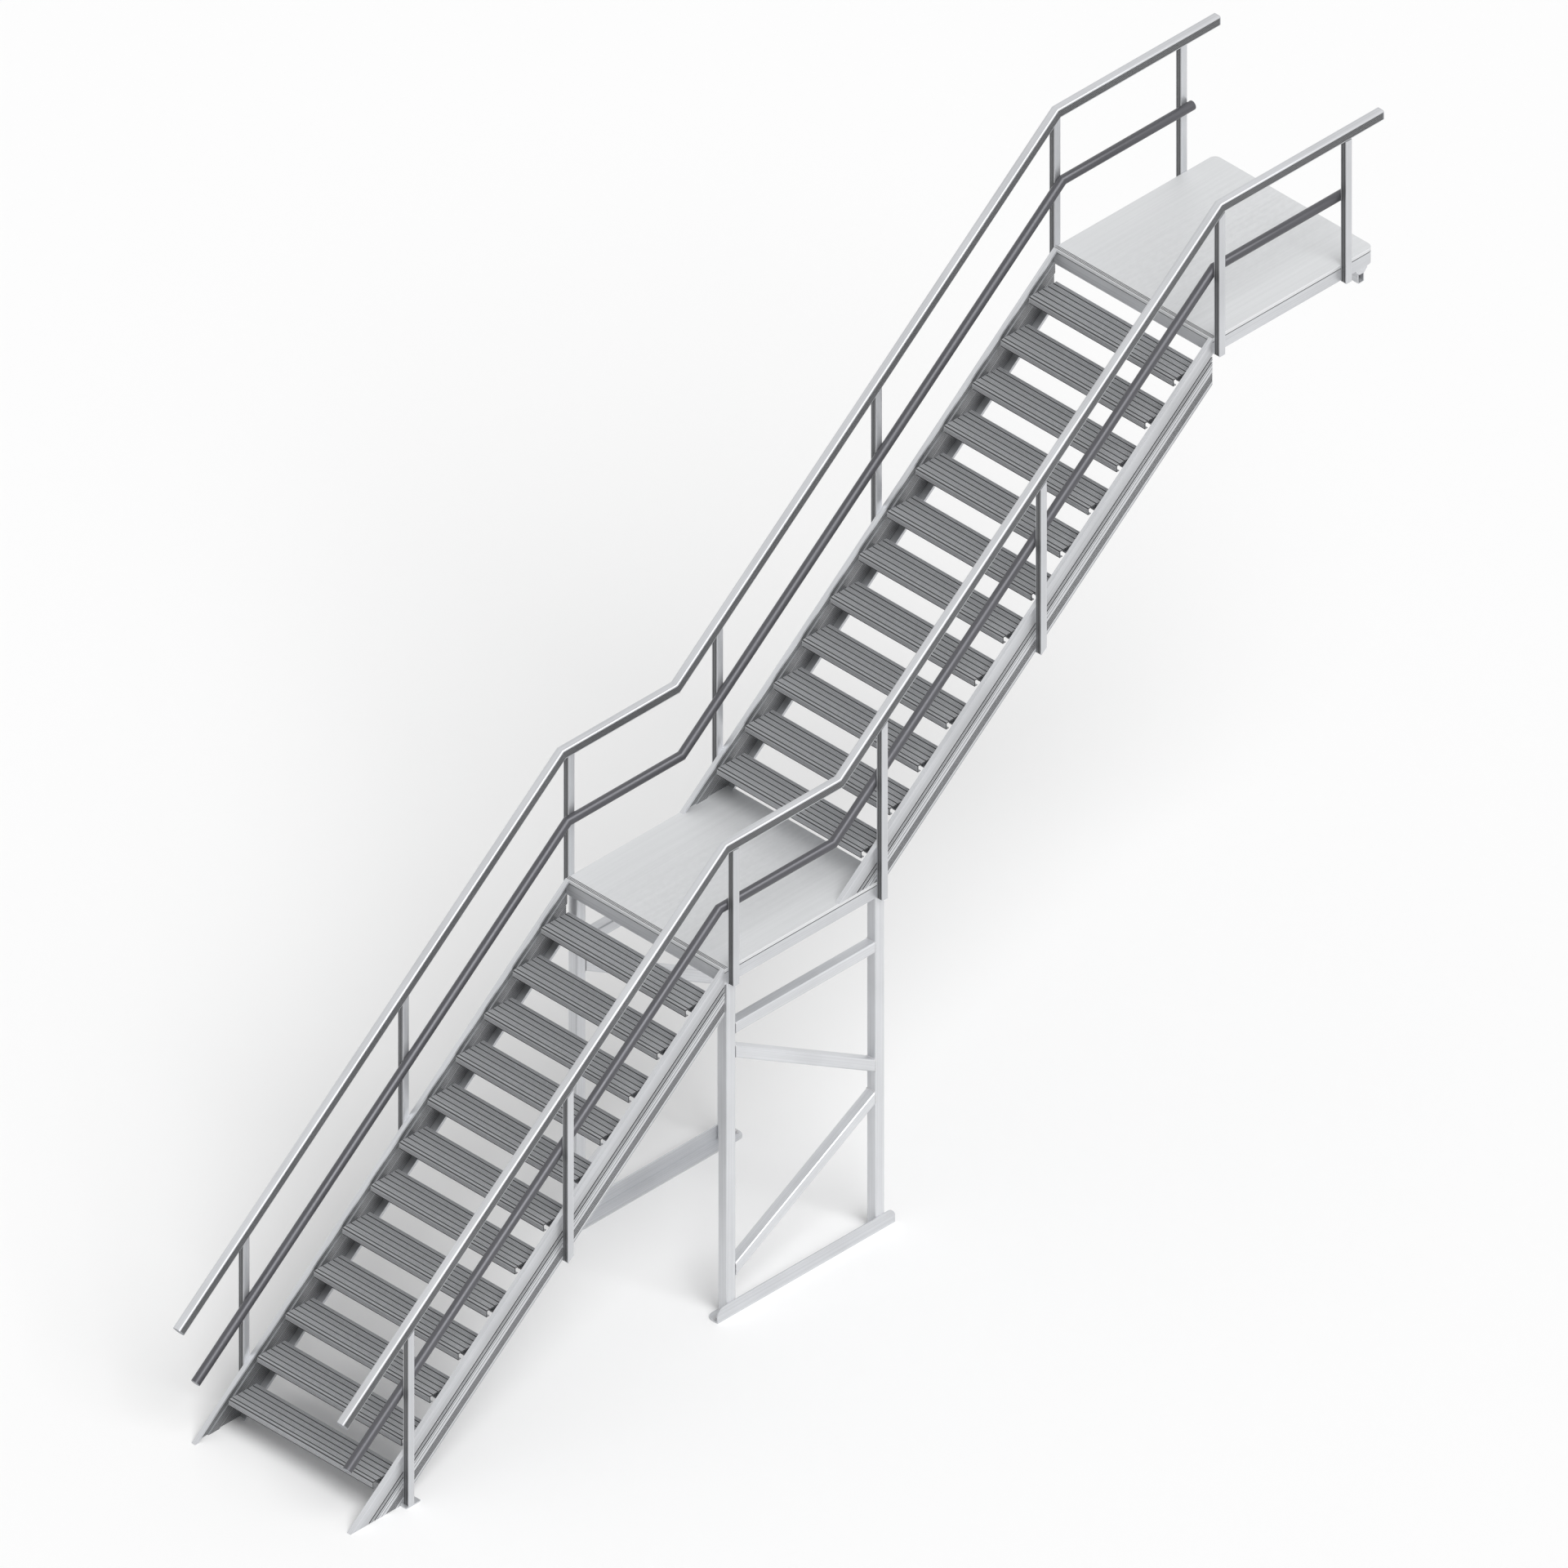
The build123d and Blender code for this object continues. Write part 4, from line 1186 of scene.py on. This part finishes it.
class STAIRS_OT_stage(bpy.types.Operator):
    """Lay the floor and set the light and the camera"""
    bl_idname = "stairs.stage"
    bl_label = "Stage"

    def execute(self, context):
        stage = context.scene.stair_stage
        self.floor(stage.floor_colour)
        self.world(context.scene)
        sun = bpy.data.lights.new("key_light", "SUN")
        sun.energy = stage.sun_strength
        sun.angle = radians(40.0)
        self.aim("key_light", sun, Vector((-2.5, -10.0, 12.5)), Vector((0.0, 0.0, 0.0)))
        camera = bpy.data.cameras.new("camera")
        camera.type = "ORTHO"
        camera.ortho_scale = stage.view_width
        camera.clip_end = 100.0
        target = at(4.1923, 0.0, 2.8934)
        back = Vector((-1.0, -1.0, 1.0)).normalized()
        context.scene.camera = self.aim("camera", camera, target + back * 16.0, target)
        context.scene.view_settings.view_transform = "Standard"
        return {"FINISHED"}

    def aim(self, name, data, place, target):
        """A light or camera at the place, turned to the target."""
        obj = bpy.data.objects.new(name, data)
        bpy.context.scene.collection.objects.link(obj)
        obj.location = place
        obj.rotation_euler = (target - place).to_track_quat("-Z", "Y").to_euler()
        return obj

    def floor(self, colour):
        """A wide pale floor just below the feet of the stairs."""
        mesh = bpy.data.meshes.new("floor")
        reach, depth = 60.0, -0.001
        corners = ((-reach, -reach), (reach, -reach), (reach, reach), (-reach, reach))
        mesh.from_pydata([(x, y, depth) for x, y in corners], [], [(0, 1, 2, 3)])
        floor = bpy.data.objects.new("floor", mesh)
        bpy.context.scene.collection.objects.link(floor)
        ground = Surface("floor", colour, 0.9, 0.0)
        ground.shader.inputs["Specular IOR Level"].default_value = 0.1
        mesh.materials.append(ground.material)

    def world(self, scene):
        """Soft light from all sides, and plain white where the camera or a reflection meets it."""
        scene.world = bpy.data.worlds.new("studio")
        scene.world.use_nodes = True
        nodes, links = scene.world.node_tree.nodes, scene.world.node_tree.links
        soft = nodes["Background"]
        bright = nodes.new("ShaderNodeBackground")
        for background, strength in ((soft, SOFT_LIGHT), (bright, 1.0)):
            background.inputs["Color"].default_value = WHITE
            background.inputs["Strength"].default_value = strength
        path = nodes.new("ShaderNodeLightPath").outputs
        seen = path["Is Camera Ray"]
        for label in ("Is Glossy Ray", "Is Transmission Ray"):
            either = nodes.new("ShaderNodeMath")
            either.operation = "ADD"
            either.use_clamp = True
            links.new(seen, either.inputs[0])
            links.new(path[label], either.inputs[1])
            seen = either.outputs["Value"]
        mix = nodes.new("ShaderNodeMixShader")
        links.new(seen, mix.inputs["Fac"])
        links.new(soft.outputs["Background"], mix.inputs[1])
        links.new(bright.outputs["Background"], mix.inputs[2])
        links.new(mix.outputs["Shader"], nodes["World Output"].inputs["Surface"])


class STAIRS_PT_panel(bpy.types.Panel):
    """Lists the pieces of the stairs"""
    bl_idname = "STAIRS_PT_panel"
    bl_label = "Access stairs"
    bl_space_type = "VIEW_3D"
    bl_region_type = "UI"
    bl_category = "Stairs"

    def draw(self, context):
        column = self.layout.column()
        for group in GROUPS:
            settings = getattr(context.scene, group)
            for key in settings.__annotations__:
                column.prop(settings, key)
        for operator in OPERATORS:
            column.operator(operator.bl_idname)


GROUPS = {"stair_finish": StairFinish, "stair_detail": StairDetail, "stair_stage": StairStage}
OPERATORS = (
    STAIRS_OT_profiles,
    STAIRS_OT_stringers,
    STAIRS_OT_treads,
    STAIRS_OT_decks,
    STAIRS_OT_handrails,
    STAIRS_OT_knee_rails,
    STAIRS_OT_end_caps,
    STAIRS_OT_rail_posts,
    STAIRS_OT_tower,
    STAIRS_OT_welds,
    STAIRS_OT_bolts,
    STAIRS_OT_stage,
)


def register():
    for name, group in GROUPS.items():
        bpy.utils.register_class(group)
        setattr(bpy.types.Scene, name, PointerProperty(type=group))
    for operator in OPERATORS:
        bpy.utils.register_class(operator)
    bpy.utils.register_class(STAIRS_PT_panel)


def unregister():
    bpy.utils.unregister_class(STAIRS_PT_panel)
    for operator in reversed(OPERATORS):
        bpy.utils.unregister_class(operator)
    for name, group in reversed(GROUPS.items()):
        delattr(bpy.types.Scene, name)
        bpy.utils.unregister_class(group)


def main():
    register()
    bpy.ops.stairs.profiles()
    bpy.ops.stairs.stringers()
    bpy.ops.stairs.treads()
    bpy.ops.stairs.decks()
    bpy.ops.stairs.handrails()
    bpy.ops.stairs.knee_rails()
    bpy.ops.stairs.end_caps()
    bpy.ops.stairs.rail_posts()
    bpy.ops.stairs.tower()
    bpy.ops.stairs.welds()
    bpy.ops.stairs.bolts()
    bpy.ops.stairs.stage()


if __name__ == "__main__":
    main()
